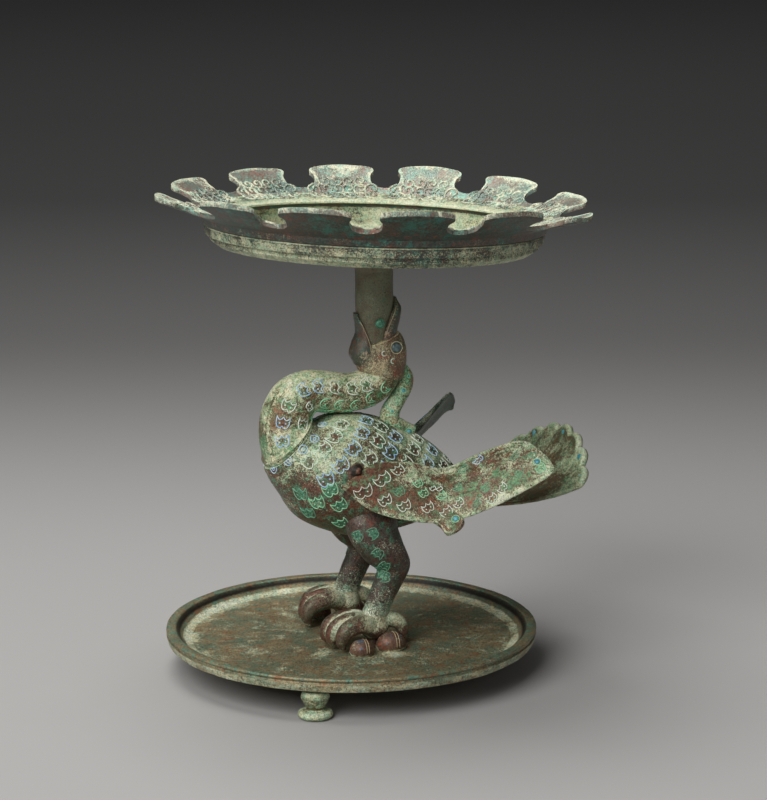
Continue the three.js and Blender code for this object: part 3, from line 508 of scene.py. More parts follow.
def on_floor(v):
    return v.co.z > 14 and (v.co - Vector((TRAY_AHEAD, 0, v.co.z))).length < 76


bm = spun(tray_profile, 160, 0.28, (TRAY_AHEAD, 0), 2)
floor_edges = [e for e in bm.edges if all(on_floor(v) for v in e.verts)]
bmesh.ops.subdivide_edges(bm, edges=floor_edges, cuts=3, use_grid_fill=True)
roughen(bm, 0.12, 7, 1.0)
roughen(bm, 0.22, 26, 2.0)
tray = finish_piece("round_tray", bm, FINISH["tray"], ["base_tray"])


def tray_crust(p, n):
    r = math.hypot(p.x - TRAY_AHEAD, p.y)
    streak = abs(grain((p.x, 2.2 * p.y, 0), 16, 5) + 0.15 * grain(p, 3, 2))
    wisps = max(0, 1 - 5 * streak) * bump(r, 45, 45)
    spill = max(bump(math.hypot(p.x - 17, 0.8 * (p.y - side * 22)), 17, 6) for side in (1, -1))
    # The steep wall under the lip is painted dark, as shade.
    wall = -1.4 * bump(r, 79.3, 1.9) * (n.z < 0.92)
    lip = -0.1 if r > 80 and p.z > 18.6 else 0.3 * (r > 79 and p.z < 17.8 and n.z < 0.2)
    # The cove gets more lime on the side towards the key lamp: partly crust, partly painted light.
    cove = 1.05 * bump(r, 75.3, 3.6) * (0.8 + 0.8 * grain(p, 14, 3) + 0.3 * (p.x > 20))
    return cove + wall + lip + 0.3 * wisps + 0.8 * spill * max(0, 0.4 + grain(p, 9, 6))


def tray_salts(p, n):
    return 0.15 * (p.z > 18.6) + 0.5 * bump(math.hypot(p.x - TRAY_AHEAD, p.y), 76, 5) * grain(p, 20, 4)


paint(tray, 0.0, 0.5, tray_crust, tray_salts)

# %% [markdown]
# ## The tray's feet
# Each foot is a thick disc, a narrow neck and a ball under the tray. A stack of round shapes would
# have hard seams, so each foot is one spun profile. The three stand at even angles, and the roughened
# soles are held to the floor.

# %% Tray feet
FOOT_COUNT, FOOT_OUT = 3, 77
foot_profile = [(0, 0), (6.2, 0), (7.5, 0.9), (7.75, 2), (6.9, 3.3), (4.3, 3.6), (3.4, 4.5), (4.7, 5.8),
                (6.1, 8.6), (6.2, 10.2), (5.2, 12.1), (0, 12.4)]
for k in range(FOOT_COUNT):
    angle = math.pi / 3 + 2 * math.pi * k / FOOT_COUNT
    middle = (TRAY_AHEAD + FOOT_OUT * math.cos(angle), FOOT_OUT * math.sin(angle))
    bm = spun(foot_profile, 48, 0.7, middle, 3)
    roughen(bm, 0.16, 3, k)
    for v in bm.verts:
        v.co.z = max(0, v.co.z)
    foot = finish_piece(f"tray_foot_casting_{k + 1}", bm, FINISH["foot"],
                        [f"tray_foot_{k + 1}"])
    paint(foot, 0.4, 1.0)

# %% [markdown]
# ## The body
# The body is an egg, cast hollow, with a raised collar in front that takes the neck. A scaled ball
# would be too even, so it is skinned from measured stations between the rump and the collar. A small
# round hole in its side, perhaps left by a plug of the core, is made by pushing vertices inwards.

# %% Body
RUMP_X, BODY_LENGTH, BODY_DEPTH, BODY_WIDTH, BODY_Z = -47, 88, 56, 52, 91
# Each station has its place from rump to collar, its height, its turn, its depth and its width.
BODY_STATIONS = [
    [0.00, -0.223, 0, 0.18, 0.38], [0.08, -0.214, 2, 0.32, 0.54], [0.22, -0.135, 8, 0.565, 0.75],
    [0.375, -0.1, 12, 0.8, 0.90], [0.557, -0.063, 16, 0.964, 0.98], [0.693, 0, 24, 1, 1],
    [0.816, 0.075, 30, 0.936, 0.96], [0.903, 0.173, 37, 0.771, 0.81], [0.977, 0.22, 43, 0.586, 0.635],
    [1, 0.271, 45, 0.536, 0.555],
]
body_stations = [[RUMP_X + x * BODY_LENGTH, 0, BODY_Z + z * BODY_DEPTH, turn, d * BODY_DEPTH / 2,
                  w * BODY_WIDTH / 2] for x, z, turn, d, w in BODY_STATIONS]
HOLE_RADIUS, HOLE_DEPTH = 2.6, 3.2


def body_relief(t, a):
    return -0.2 * bump(t, 0.9, 0.02) + 0.15 * bump(t, 0.94, 0.03)


bm = skin(limb_rings(body_stations, 120, 120, body_relief))
bm.normal_update()
hole = limb_place(body_stations, 0.605, math.radians(80))
for v in bm.verts:
    if (v.co - hole).length < HOLE_RADIUS:
        v.co -= v.normal * HOLE_DEPTH * min(1, 1.5 * (1 - (v.co - hole).length / HOLE_RADIUS))
roughen(bm, 0.16, 5, 4)
roughen(bm, 0.25, 16, 5)
body = finish_piece("body_casting", bm, FINISH["body"], ["bird_body"])


def pit(p):
    """1 in the middle of the hole in the body, 0 outside it."""
    return max(0.0, 1 - ((p - hole).length / 3.4) ** 4)


def body_crust(p, n):
    # Less crust low down darkens the bottom; the pale patch on the near shoulder is partly painted highlight.
    low = clamped((84 - p.z) / 14)
    shoulder_highlight = bump((p - Vector((34, 14, 101))).length, 0, 17)
    # Inside the hole the crust falls far below zero, which paints it near black: painted shade.
    return 0.28 * (grain(p, 12, 8)) - 0.25 * low - 3.0 * pit(p) + 0.35 * shoulder_highlight


paint(body, 0.42, 0.5, body_crust, lambda p, n: -2.0 * pit(p))

# %% [markdown]
# ## The neck
# The neck bends back over the body and climbs into the head. A plain strip with a ridge on each
# side runs up its throat, and a raised ridge closes its foot. The same skin is used as for the body,
# because a tube along a curve can't change its thickness and carry the strip at once.

# %% Neck
COLLAR_X, COLLAR_Z, NECK_RISE, NECK_RADIUS = 41, 91 + 0.271 * 56, 24, 9
# Each station has how far back and how far up it lies, its turn and its size.
NECK_STATIONS = [
    [0.00, 0.03, 45, 1.66], [-0.02, 0.09, 49, 1.62], [-0.03, 0.16, 54, 1.5], [-0.035, 0.36, 72, 1.38],
    [0.0, 0.61, 95, 1.32], [0.088, 0.855, 125, 1.22], [0.237, 0.97, 157, 1.11], [0.44, 0.94, 186, 1.05],
    [0.67, 0.895, 186, 0.99], [0.866, 0.94, 165, 0.98], [1.02, 1.07, 140, 0.98], [1.085, 1.26, 115, 0.95],
]
neck_stations = [[COLLAR_X - back * COLLAR_X, 0, COLLAR_Z + up * NECK_RISE, turn, size * NECK_RADIUS,
                  size * NECK_RADIUS * 0.95] for back, up, turn, size in NECK_STATIONS]


def neck_relief(t, a):
    throat = abs(a - math.pi)
    strip = 0.3 * bump(throat, 0.62, 0.1) - 0.2 * bump(throat, 0, 0.55)
    return strip * min(1, 6 * t) * min(1, 5 * (1 - t)) + 0.35 * bump(t, 0.07, 0.035)


bm = skin(limb_rings(neck_stations, 110, 64, neck_relief))
roughen(bm, 0.12, 4, 6)
neck = finish_piece("neck_casting", bm, FINISH["neck"], ["bird_neck"])
paint(neck, 0.5, 0.5, lambda p, n: 0.3 * grain(p, 9, 2) + 0.1,
      lambda p, n: 0.5 * bump(p.z, COLLAR_Z, 9) + 0.4 * grain(p, 11, 7))

# %% [markdown]
# ## The head
# The head is tipped back, so the beak opens straight upwards. It is a short limb of its own, with a
# soft ridge where the beak's plates leave it, and it is skinned like the neck.

# %% Head
HEAD_Z, HEAD_HEIGHT, HEAD_DEPTH, HEAD_WIDTH = COLLAR_Z + NECK_RISE, 21, 12.5, 9.7
HEAD_STATIONS = [
    [-4.6, 0.04, 92, 0.3, 0.3], [-4.6, 0.13, 92, 0.66, 0.7], [-3.6, 0.3, 90, 0.84, 0.9],
    [-3, 0.5, 88, 0.95, 1], [-2.6, 0.74, 82, 0.98, 1], [-1.8, 0.94, 74, 0.9, 0.96],
    [-1.4, 1.03, 70, 0.68, 0.8],
]
head_stations = [[x, 0, HEAD_Z + up * HEAD_HEIGHT, turn, d * HEAD_DEPTH, w * HEAD_WIDTH]
                 for x, up, turn, d, w in HEAD_STATIONS]
bm = skin(limb_rings(head_stations, 60, 64, lambda t, a: 0.5 * bump(t, 0.93, 0.05)))
roughen(bm, 0.12, 3.5, 9)
head = finish_piece("head_casting", bm, FINISH["head"], ["bird_head"])
paint(head, 0.1, 0.6, lambda p, n: 0.25 * grain(p, 8, 5) + 0.15)

# %% [markdown]
# ## The beak
# The two halves of the beak close round the stem and hold it. Each is a curved plate: its inside
# follows the stem and its outside swells at the root. A ring of points goes up the outside and back
# down the inside, so one skin gives the plate its thickness, which a solidified sheet would keep the
# same everywhere. A pale line is drawn along each edge later, from the points kept here.

# %% Beak
STEM_RADIUS, STEM_LENGTH, GRIP_LENGTH = 8.6, 42.6, 18
STEM_FOOT = HEAD_Z + 19
STEM_TOP = STEM_FOOT + STEM_LENGTH
beak_lines = []


def stem_radius(z):
    """The stem is a little thinner inside the beak."""
    return STEM_RADIUS - clamped(1 - (z - STEM_FOOT) / GRIP_LENGTH)


def beak(name, facing, length, root, walls, spread, node):
    """One half of the beak. spread is its half angle round the stem and walls its thickness, root to tip."""
    rows, columns = 44, 20
    rings = []
    for i in range(rows + 1):
        t = i / rows
        half = math.radians(along(spread, t))
        z = STEM_FOOT - root + t * (length + root)
        inner = stem_radius(z) + 0.1
        outside, inside = [], []
        for j in range(columns + 1):
            u = 2 * j / columns - 1
            a = facing + u * half
            edge = math.sqrt(max(0, 1 - abs(u) ** 6))
            lip = 0.35 * bump(abs(u), 0.82, 0.16)
            outer = inner + (0.35 + lip) * edge + 0.2 + along(walls, t) * (1 - 0.8 * u * u)
            outside.append(Vector((outer * math.cos(a), outer * math.sin(a), z)))
            inside.insert(0, Vector((inner * math.cos(a), inner * math.sin(a), z)))
        rings.append(outside + inside)
    bm = skin(rings)
    roughen(bm, 0.08, 3, facing)
    piece = finish_piece(name, bm, FINISH["beak"], [node])

    def edges(p, n):
        t = clamped((p.z - STEM_FOOT + root) / (length + root))
        turn = (math.degrees(math.atan2(p.y, p.x)) - math.degrees(facing) + 180) % 360 - 180
        wattle = (p - Vector((8.5, 10.5, STEM_FOOT - 4.3))).length
        rim = 0.2 * bump(abs(turn) / along(spread, t), 0.9, 0.2)
        return 0.35 * bump(wattle, 3.6, 1.2) + 0.25 * max(0, 0.45 - t) + rim

    paint(piece, 0.1, 0.2, edges, lambda p, n: 0.3 * max(0, n.y))
    for u in (-0.97, 0.97):
        line = []
        for k in range(6, 18):
            t = k / 20
            a = facing + u * math.radians(along(spread, t))
            z = STEM_FOOT - root + t * (length + root)
            out = Vector((math.cos(a), math.sin(a), 0))
            radius = stem_radius(z) + 0.7 + along(walls, t) * (1 - 0.8 * u * u)
            line.append((out * radius + Vector((0, 0, z)), out))
        beak_lines.append((line, False))


upper_walls = [3.3 * s for s in (0.3, 0.42, 0.6, 0.9, 1, 0.3)]
lower_walls = [1.6 * s for s in (0.8, 2.2, 1.5, 0.2, 0.15, 0.4)]
beak("upper_beak_plate", math.pi, 21, 3, upper_walls, [80, 80, 72, 58, 36, 12], "beak_upper")
beak("lower_beak_plate", 0, 14.5, 9, lower_walls, [40, 62, 62, 50, 34, 12], "beak_lower")

# %% [markdown]
# ## The crest plume
# One long plume leaves the crown, hangs in a loop behind the neck and lies down on the bird's back.
# It swells towards its end. A bent cylinder would keep one thickness, so it is skinned as a limb. Its
# stations hang between the crown and the back, so the loop keeps its shape if either moves.

# %% Plume
PLUME_DEPTH, PLUME_WIDTH = 3.6, 3.2
plume_top, back_z = HEAD_Z + 0.42 * HEAD_HEIGHT, BODY_Z + 0.335 * BODY_DEPTH
fall = plume_top - back_z
plume_stations = [[x, y, z, turn, d * PLUME_DEPTH, w * PLUME_WIDTH] for x, y, z, turn, d, w in (
    (-11.4, 0, plume_top + 1, -125, 0.62, 0.7),
    (-14.6, 0, plume_top - 0.17 * fall, -95, 1, 1),
    (-14.4, 0.5, plume_top - 0.34 * fall, -66, 1.02, 1),
    (-10.8, 1.5, plume_top - 0.52 * fall, -54, 1.08, 1.1),
    (-7.2, 2, plume_top - 0.7 * fall, -72, 1.2, 1.3),
    (-6.6, 2.5, plume_top - 0.86 * fall, -105, 1.25, 1.5),
    (-10.2, 3, back_z + 1.2, -140, 1.1, 1.4),
    (-17, 3, back_z - 1.6, -146, 0.8, 1))]
bm = skin(limb_rings(plume_stations, 70, 32))
roughen(bm, 0.12, 3, 12)
plume = finish_piece("crest_plume_casting", bm, FINISH["plume"], ["crest_plume"])
paint(plume, 0.2, 0.5, lambda p, n: 0.2 * grain(p, 6, 3))

# %% [markdown]
# ## The shape of a wing
# A wing is a cast plate that leaves the shoulder, sweeps back and turns over as it goes, so it lies in
# no one plane. Its two edges are curves in space, each read from a short list of how far back, how
# far out and how far up it goes. Everything else on the wing is found from these two edges.

# %% Edges of the wings
WING_TOP = [[0, 0.03, 0], [0.16, -0.03, 8], [0.37, -0.03, 7.8], [0.56, 0, 4.4], [0.75, 0.21, 12.6],
            [0.9, 0.51, 18.6], [0.98, 0.78, 14.2], [1, 0.92, 10]]
WING_LOW = [[0, 0.03, -2], [0.13, 0.18, -11], [0.31, 0.36, -15], [0.49, 0.5, -15.4], [0.67, 0.69, -9.6],
            [0.84, 0.87, -1], [0.95, 1, 5.8], [0.995, 0.98, 8]]
WING_BACK, WING_ROOT_OUT, WING_OUT, FAR_WING_LIFT, WING_BULGE = 85, 26, 39, 5.8, 3.5


def wing_edge(table, side):
    """An edge of a wing as a function of t. The right wing was bent up a little."""
    lift = FAR_WING_LIFT if side < 0 else 0
    points = [Vector((RUMP_X + 0.8 * BODY_LENGTH - WING_BACK * back, side * (WING_ROOT_OUT + WING_OUT * out),
                      BODY_Z + 0.4 + up + lift * math.sin(0.8 * math.pi * back))) for back, out, up in table]
    columns = list(zip(*points))
    return lambda t: Vector([along(c, t) for c in columns])


def wing_frame(side, t):
    """A point on the top edge, the way from it to the low edge, and the way out of the wing."""
    top, low = wing_edge(WING_TOP, side), wing_edge(WING_LOW, side)
    chord = low(t) - top(t)
    tangent = top(min(1, t + 0.01)) - top(max(0, t - 0.01))
    normal = chord.cross(tangent).normalized()
    return top(t), chord, (-normal if normal.z < 0 else normal)


def wing_section(side, t, v):
    """A point on the wing's outer face, and the direction out of it."""
    start, chord, normal = wing_frame(side, t)
    rise = WING_BULGE * math.sin(math.pi * v) * (1 - 0.6 * t)
    return start + chord * v + normal * rise, normal


print("middle of the left wing:", [round(c, 1) for c in wing_section(1, 0.5, 0.5)[0]])

# %% [markdown]
# ## The wing plates
# Sections between the two edges give the plate its bulge, its thickness, shallow ribs and a raised
# rim. A bent flat sheet would have one thickness, but the cast wing is thick at the root and thin at
# the edges, so each section is a closed ring again and the plate is one skin.

# %% Wings
def wing(side, name, node):
    rows, columns = 90, 36
    rings = []
    for i in range(rows + 1):
        t = i / rows
        start, chord, normal = wing_frame(side, t)
        root = 8 * max(0, 1 - 1.6 * t)
        outer, inner = [], []
        for j in range(columns + 1):
            v = j / columns
            hill = math.sin(math.pi * v)
            rise = WING_BULGE * hill * (1 - 0.6 * t)
            ribs = -0.22 * bump((v * 5.5 + 0.35 * math.sin(5 * t)) % 1, 0.5, 0.28)
            ribs *= min(1, 4 * hill) * min(1, 3 * t)
            rim = 0.35 * bump(v, 0.955, 0.07) + 0.3 * bump(v, 0.03, 0.05)
            thick = 0.5 + 2.5 * math.sqrt(hill) + root * (1 - v)
            p = start + chord * v + normal * (rise - 0.25)
            outer.append(p + normal * (ribs + rim))
            inner.insert(0, p - normal * thick)
        rings.append(outer + inner)
    bm = skin(rings)
    roughen(bm, 0.16, 4, 13 + side)
    # The far wing takes the darker finish, which is painted shade.
    finish = FINISH["wing" if side > 0 else "far_wing_painted_shade"]
    piece = finish_piece(name, bm, finish, [node])
    low = wing_edge(WING_LOW, side)
    low_edge = [low(t / 60) for t in range(61)]

    def wing_crust(p, n):
        near = min((p - q).length for q in low_edge)
        root = clamped((p.x + 6) / 18) * min(1.0, near / 9)
        return 0.35 * grain(p, 9, 4) + 0.4 * max(0, 1 - near / 5.5) - 0.6 * root + 0.15 * bump(p.x, -52, 22)

    paint(piece, 0.3, 0.35, wing_crust, lambda p, n: 0.3 * grain(p, 13, 9) + 0.1 * bump(p.x, -50, 26))
    return piece


wing_left = wing(1, "left_wing_plate", "wing_left")
wing_right = wing(-1, "right_wing_plate", "wing_right")

# %% [markdown]
# ## The hooked lobe
# A hooked lobe hangs from the middle of each wing's lower edge, like the bend of a feather. It is a
# flat outline with a rounded rim and a dished face. The outline is a closed smooth curve, drawn in the
# wing's own directions at that place, and the rings of the skin are that outline at eleven heights.

# %% Hooked lobe on the lower edge of each wing
HOOK = [(-13, -5), (-11.3, -3.2), (-8.5, -0.9), (-5.9, 2.2), (-4.6, 4.9), (-3.7, 6.6), (-2.2, 6.9), (0, 6.5),
        (2.2, 5.6), (4.2, 3.8), (5, 1.6), (4.6, -1.2), (3.4, -4.1), (0.5, -7.2), (-4.9, -7.8), (-10, -6.8)]
# Size of the outline and height over the wing, from the back of the lobe to the middle of its face.
HOOK_LEVELS = [(0.05, -2.6), (0.5, -2.5), (0.8, -2.1), (0.93, -1.6), (1, -0.8), (1, -0.2), (0.95, 0.5),
               (0.86, 0.8), (0.78, 0.62), (0.5, 0.8), (0.05, 0.9)]
HOOK_POINTS = 64


def hook_frame(side):
    """The hook's own frame: along the wing's lower edge, down across it, and out of the wing."""
    low = wing_edge(WING_LOW, side)
    out = wing_section(side, 0.45, 0.9)[1]
    run = low(0.5) - low(0.4)
    run = (run - out * run.dot(out)).normalized()
    down = out.cross(run)
    return low(0.45), run, (down if down.z < 0 else -down), out


for side, word in SIDES:
    middle, run, down, out = hook_frame(side)
    outline = [Vector([along([*column, column[0]], k / HOOK_POINTS) for column in zip(*HOOK)])
               for k in range(HOOK_POINTS)]
    rings = []
    for size, height in HOOK_LEVELS:
        shift = (run * -0.6 - down * 0.6) * (1 - size)
        rings.append([middle + (run * q.x + down * q.y) * size + shift + out * height for q in outline])
    bm = skin(rings)
    roughen(bm, 0.1, 3, 17)
    hook = finish_piece(f"{word}_wing_hook", bm, FINISH["wing"])
    paint(hook, 0.1, 0.35, lambda p, n: 0.05 + 0.25 * grain(p, 4, 2))

# %% [markdown]
# ## The tail
# The tail is a fan of seven feathers, cast as one plate that curls upwards. The outer edge is
# scalloped, one scallop to a feather, and a groove runs between each two feathers. Seven separate
# feathers would leave gaps, so one formula bends a flat fan, and the scallops come from a sine.

# %% Tail
TAIL_LENGTH, FEATHERS, FAN_ANGLE, FAN_HALF_WIDTH, TAIL_RISE = 69, 7, 46, 46, 32


def scallop(s):
    """1 in the middle of a feather, 0 between two, for s from -1 to 1 across the fan."""
    return abs(math.sin(0.5 * math.pi * FEATHERS * (s + 1)))


def tail_place(s, t):
    """The place on the fan at s across it and at t from the rump to the edge."""
    half = math.radians(FAN_ANGLE)
    fan = FAN_HALF_WIDTH / math.sin(half)
    reach = fan + 3.2 * (scallop(s) ** 0.6 - 1) * t
    edge = TAIL_LENGTH - fan + reach * math.cos(half * s)
    y = mix(12 * s, reach * math.sin(half * s), t**1.35)
    c = min(1, t * edge / TAIL_LENGTH)
    x = RUMP_X + 6 - 56 * (c * 1.19 - 0.19 * c**3)
    z = BODY_Z - 0.335 * BODY_DEPTH + TAIL_RISE * (0.12 * c + 0.88 * c**2.6)
    return Vector((x, y, z))


def tail_normal(s, t):
    step = tail_place(s, min(1, t + 0.01)) - tail_place(s, max(0, t - 0.01))
    normal = Vector((step.z, 0, -step.x)).normalized()
    return normal if normal.z > 0 else -normal


rows, columns = 56, 12 * FEATHERS
rings = []
for j in range(columns + 1):
    s = 2 * j / columns - 1
    under, over = [], []
    for i in range(rows + 1):
        t = i / rows
        edge = math.sqrt(max(0, 1 - s**12)) * (1 if i < rows else 0.5)
        groove = 0.28 * math.exp(-((scallop(s) / 0.22) ** 2)) * clamped(3 * (t - 0.6))
        thick = 2.8 * (0.45 + 0.55 * edge) + 7 * max(0, 0.45 - t) * edge
        p, n = tail_place(s, t), tail_normal(s, t)
        under.append(p + n * 0.15 * edge)
        cup = 0.5 * bump(t, 1, 0.06) - 0.2 * scallop(s) * bump(t, 0.91, 0.08) - 0.25 * bump(t, 0.7, 0.25)
        over.insert(0, p + n * (thick - 0.35 - groove + cup))
    rings.append(under + over)
bm = skin(rings)
roughen(bm, 0.14, 4, 21)
tail = finish_piece("tail_fan_plate", bm, FINISH["tail"], ["tail_fan"])


def tail_rim(p):
    """How near a place is to the tail's scalloped edge: 1 on the scallops, 0 from 16 mm inside."""
    return clamped((math.hypot(p.x - RUMP_X - 6, p.y) - 42) / 16)


paint(tail, 0.15, 0.5, lambda p, n: 0.25 * grain(p, 9, 6) + 0.5 * tail_rim(p) - 0.1,
      lambda p, n: 0.25 * tail_rim(p) - 0.15)

# %% [markdown]
# ## The legs
# Each leg has a feathered thigh, a hock that points backwards and a slim shank. The thigh starts
# inside the body, so no seam shows. The left and the right leg are the same list of stations, read
# with the other sign.

# %% Legs
LEG_OUT, CLAW_AHEAD, CLAW_HEIGHT, THIGH_SIZE, SHANK_SIZE = 21, 8, 15.5, 13, 5.3 / 0.41
ANKLE_Z = TRAY_FLOOR + CLAW_HEIGHT
thigh_fall = BODY_Z - 0.36 * BODY_DEPTH - ANKLE_Z
# Each station has how far ahead, out and up it lies, its turn, its depth and its width.
LEG_STATIONS = [
    (7, 0.6, 1.25, -96, 0.8, 0.56), (7, 0.78, 1.08, -100, 1, 0.72), (6.6, 0.9, 0.88, -112, 0.86, 0.7),
    (2.2, 1, 0.66, -112, 0.72, 0.58), (-1.6, 1, 0.5, -95, 0.6, 0.49), (0.8, 1, 0.34, -70, 0.5, 0.42),
    (4.4, 1, 0.16, -63, 0.46, 0.4), (6.6, 1, 0.02, -68, 0.44, 0.44), (7.6, 1, -0.01, -90, 0.45, 0.45),
]


def leg_crust(p, n):
    return 0.6 * clamped((42 - p.z) / 12) + 0.2 * grain(p, 6, 2) - 0.2 * (p.z > 66)


leg_stations, legs = {}, {}
for side, word in SIDES:
    stations = []
    for x, out, up, turn, d, w in LEG_STATIONS:
        size = THIGH_SIZE if d > 0.5 else SHANK_SIZE
        stations.append([x, side * LEG_OUT * out, ANKLE_Z + 0.3 + up * thigh_fall, turn, d * size, w * size])
    bm = skin(limb_rings(stations, 68, 44))
    roughen(bm, 0.14, 4, 30 + side)
    leg_stations[side] = stations
    legs[side] = finish_piece(f"{word}_leg_casting", bm, FINISH["thigh"], [f"leg_{word}"])
    paint(legs[side], 0.2, 0.5, leg_crust)

# %% [markdown]
# ## Toes
# The claws are knots of round toes, three ahead and one behind, that bend down onto the tray. A toe
# is a rod along a free path. Its rings are carried along the path with as little twist as possible,
# because a ring that turns would pinch the skin.

# %% Rods and toes
TOE_REACH, TOE_RADIUS = 22, 4.3


def rod(points, radii, rows, sides):
    """A round rod along a smooth free path."""
    columns = list(zip(*points))

    def path(t):
        return Vector([along(c, t) for c in columns])

    rings = []
    side = None
    for i in range(rows + 1):
        t = i / rows
        heading = (path(min(1, t + 0.01)) - path(max(0, t - 0.01))).normalized()
        if side is None:
            side = heading.orthogonal().normalized()
        side = (side - heading * side.dot(heading)).normalized()
        up = heading.cross(side)
        r = along(radii, t)
        turns = [2 * math.pi * j / sides for j in range(sides)]
        rings.append([path(t) + r * (side * math.cos(a) + up * math.sin(a)) for a in turns])
    return skin(rings)


def toe(side, out, reach, size):
    y, spread = side * LEG_OUT, side * out
    points = [Vector((CLAW_AHEAD + f * reach, y + g * spread, TRAY_FLOOR + h * CLAW_HEIGHT)) for f, g, h in
              ((0, 0.2, 0.62), (0.42, 0.75, 0.8), (0.85, 1, 0.68), (1, 1, 0.36), (0.93, 1, 0.1))]
    return rod(points, [r * size for r in (1.05, 1, 0.9, 0.66, 0.22)], 30, 20)


sample = toe(1, 0, TOE_REACH, TOE_RADIUS)
print("one toe:", len(sample.faces), "faces")
sample.free()

# %% [markdown]
# ## Claws
# Toes, ankle and the peg under them are one casting. A boolean union would leave sharp seams between
# the toes. A voxel remesh melts the closed shapes into one skin and rounds the seams, as wax does,
# and a light smoothing takes off its steps.

# %% Claws
# Each station of the ankle has how far back and how far up it lies, its depth and its width.
ANKLE = [(0, 0.3, 4, 4.5), (0, 0.55, 7, 7.2), (0.4, 0.8, 6.6, 6.6), (0.4, 1, 5.6, 5.6)]
FRONT_TOES = [(6.6, 0.78), (0, 0.9), (-6.6, 0.93)]


def settled(obj):
    """The final mesh of a helper object as a bmesh. The helper is removed."""
    bpy.context.view_layer.update()
    mesh = bpy.data.meshes.new_from_object(obj.evaluated_get(bpy.context.evaluated_depsgraph_get()))
    bpy.data.objects.remove(obj)
    bm = bmesh.new()
    bm.from_mesh(mesh)
    return bm


def joined(shapes, name):
    """Melts closed shapes into one casting with a voxel remesh, in millimetres."""
    bm = bmesh.new()
    for shape in shapes:
        bmesh.ops.recalc_face_normals(shape, faces=shape.faces)
        bm.from_mesh(mesh_from(name, shape))
    obj = put(name, mesh_from(name, bm))
    melt = obj.modifiers.new("melt", "REMESH")
    melt.mode = "VOXEL"
    melt.voxel_size = 0.4
    soften = obj.modifiers.new("soften", "SMOOTH")
    soften.iterations = 2
    return settled(obj)


for side, word in SIDES:
    y = side * LEG_OUT
    ankle = skin(limb_rings([[CLAW_AHEAD - back, y, TRAY_FLOOR + up * CLAW_HEIGHT, 90, depth, width]
                             for back, up, depth, width in ANKLE], 20, 28))
    peg_top = TRAY_FLOOR + 0.6 * CLAW_HEIGHT
    peg = spun([(0, 11.7), (3, 11.7), (3, peg_top), (0, peg_top)], 24, 0, (CLAW_AHEAD, y))
    toes = [toe(side, out, share * TOE_REACH, TOE_RADIUS) for out, share in FRONT_TOES]
    hind_toe = toe(side, 1.5, -0.62 * TOE_REACH, 0.86 * TOE_RADIUS)
    bm = joined([ankle, peg, *toes, hind_toe], f"{word}_claw")
    roughen(bm, 0.14, 3, 40 + side)
    claw = finish_piece(f"{word}_claw_casting", bm, FINISH["claw"], [f"claw_{word}"],
                        clean=False)

    def claw_crust(p, n, y=y):
        seams = bump(abs(p.y - y), 3.3, 1.3) if p.x > 10 else 0
        root = clamped((18 - p.x) / 6) * clamped((p.z - 20) / 5)
        return 0.8 * seams + 0.6 * root + 0.3 * clamped((18 - p.z) / 3) + 0.2 * grain(p, 6, 7)

    paint(claw, 0.15, 0.3, claw_crust)

# %% [markdown]
# ## Serpents under the claws
# A loop of a serpent's body bulges out of the tray in front of and behind each claw. Each loop is a
# short arched rod. A plane cuts off what would lie under the tray's floor, and the cut is closed.

# %% Serpents
def coil_crust(p, n):
    return 0.2 * grain(p, 5, 3) + 0.8 * clamped((TRAY_FLOOR + 1.5 - p.z) / 2)


coils = []
for side, word in SIDES:
    for place, x, y, radius, length in (("front", CLAW_AHEAD + 9, side * 31.5, 4.8, 10.5),
                                        ("hind", CLAW_AHEAD - 6, side * 28, 5.52, 13)):
        base = TRAY_FLOOR + 0.1 * radius
        points = [Vector((x + s * length, y, base + 0.35 * radius * math.cos(math.pi * s)))
                  for s in (-0.5, -0.25, 0, 0.25, 0.5)]
        bm = rod(points, [r * radius for r in (0.3, 0.86, 1, 0.86, 0.3)], 28, 32)
        cut = bmesh.ops.bisect_plane(bm, geom=bm.verts[:] + bm.edges[:] + bm.faces[:], clear_outer=True,
                                     plane_co=(0, 0, TRAY_FLOOR + 0.05), plane_no=(0, 0, -1))
        cut_edges = [g for g in cut["geom_cut"] if isinstance(g, bmesh.types.BMEdge)]
        bmesh.ops.holes_fill(bm, edges=cut_edges, sides=0)
        coil = finish_piece(f"{word}_{place}_serpent_loop", bm, FINISH["serpent"],
                            [f"serpent_{place}_{word}"])
        paint(coil, 0.0, 0.6, coil_crust)
        coils.append((coil, Vector((x, y, TRAY_FLOOR)), side, radius))

# %% [markdown]
# ## The stem and its pin
# The stem is a plain round column. It tapers where the beak grips it and flares under the basin. It
# is spun like the tray, and its long edges are divided so that it can be roughened. A pin with a
# domed head goes through it above the gape.

# %% Stem and pin
LEAN, PIN_UP = math.radians(2), 10.5
LEAN_ABOUT = Matrix.Translation((0, 0, STEM_TOP))
lean = LEAN_ABOUT @ Matrix.Rotation(-LEAN, 4, "Y") @ LEAN_ABOUT.inverted()
stem_profile = [
    (0, STEM_FOOT - 7), (4.5, STEM_FOOT - 7), (4.5, STEM_FOOT), (stem_radius(STEM_FOOT), STEM_FOOT),
    (STEM_RADIUS, STEM_FOOT + GRIP_LENGTH), (STEM_RADIUS, STEM_TOP - 9), (STEM_RADIUS + 0.5, STEM_TOP - 4.5),
    (STEM_RADIUS + 1.6, STEM_TOP - 1.5), (STEM_RADIUS + 1.6, STEM_TOP - 0.2), (0, STEM_TOP - 0.2),
]
bm = spun(stem_profile, 72, 0.4)
long_edges = [e for e in bm.edges if abs(e.verts[0].co.z - e.verts[1].co.z) > 5]
bmesh.ops.subdivide_edges(bm, edges=long_edges, cuts=24, use_grid_fill=True)
roughen(bm, 0.1, 5, 50)
stem = finish_piece("stem_column", bm, FINISH["stem"], ["stem"])
paint(stem, 0.0, 0.3)
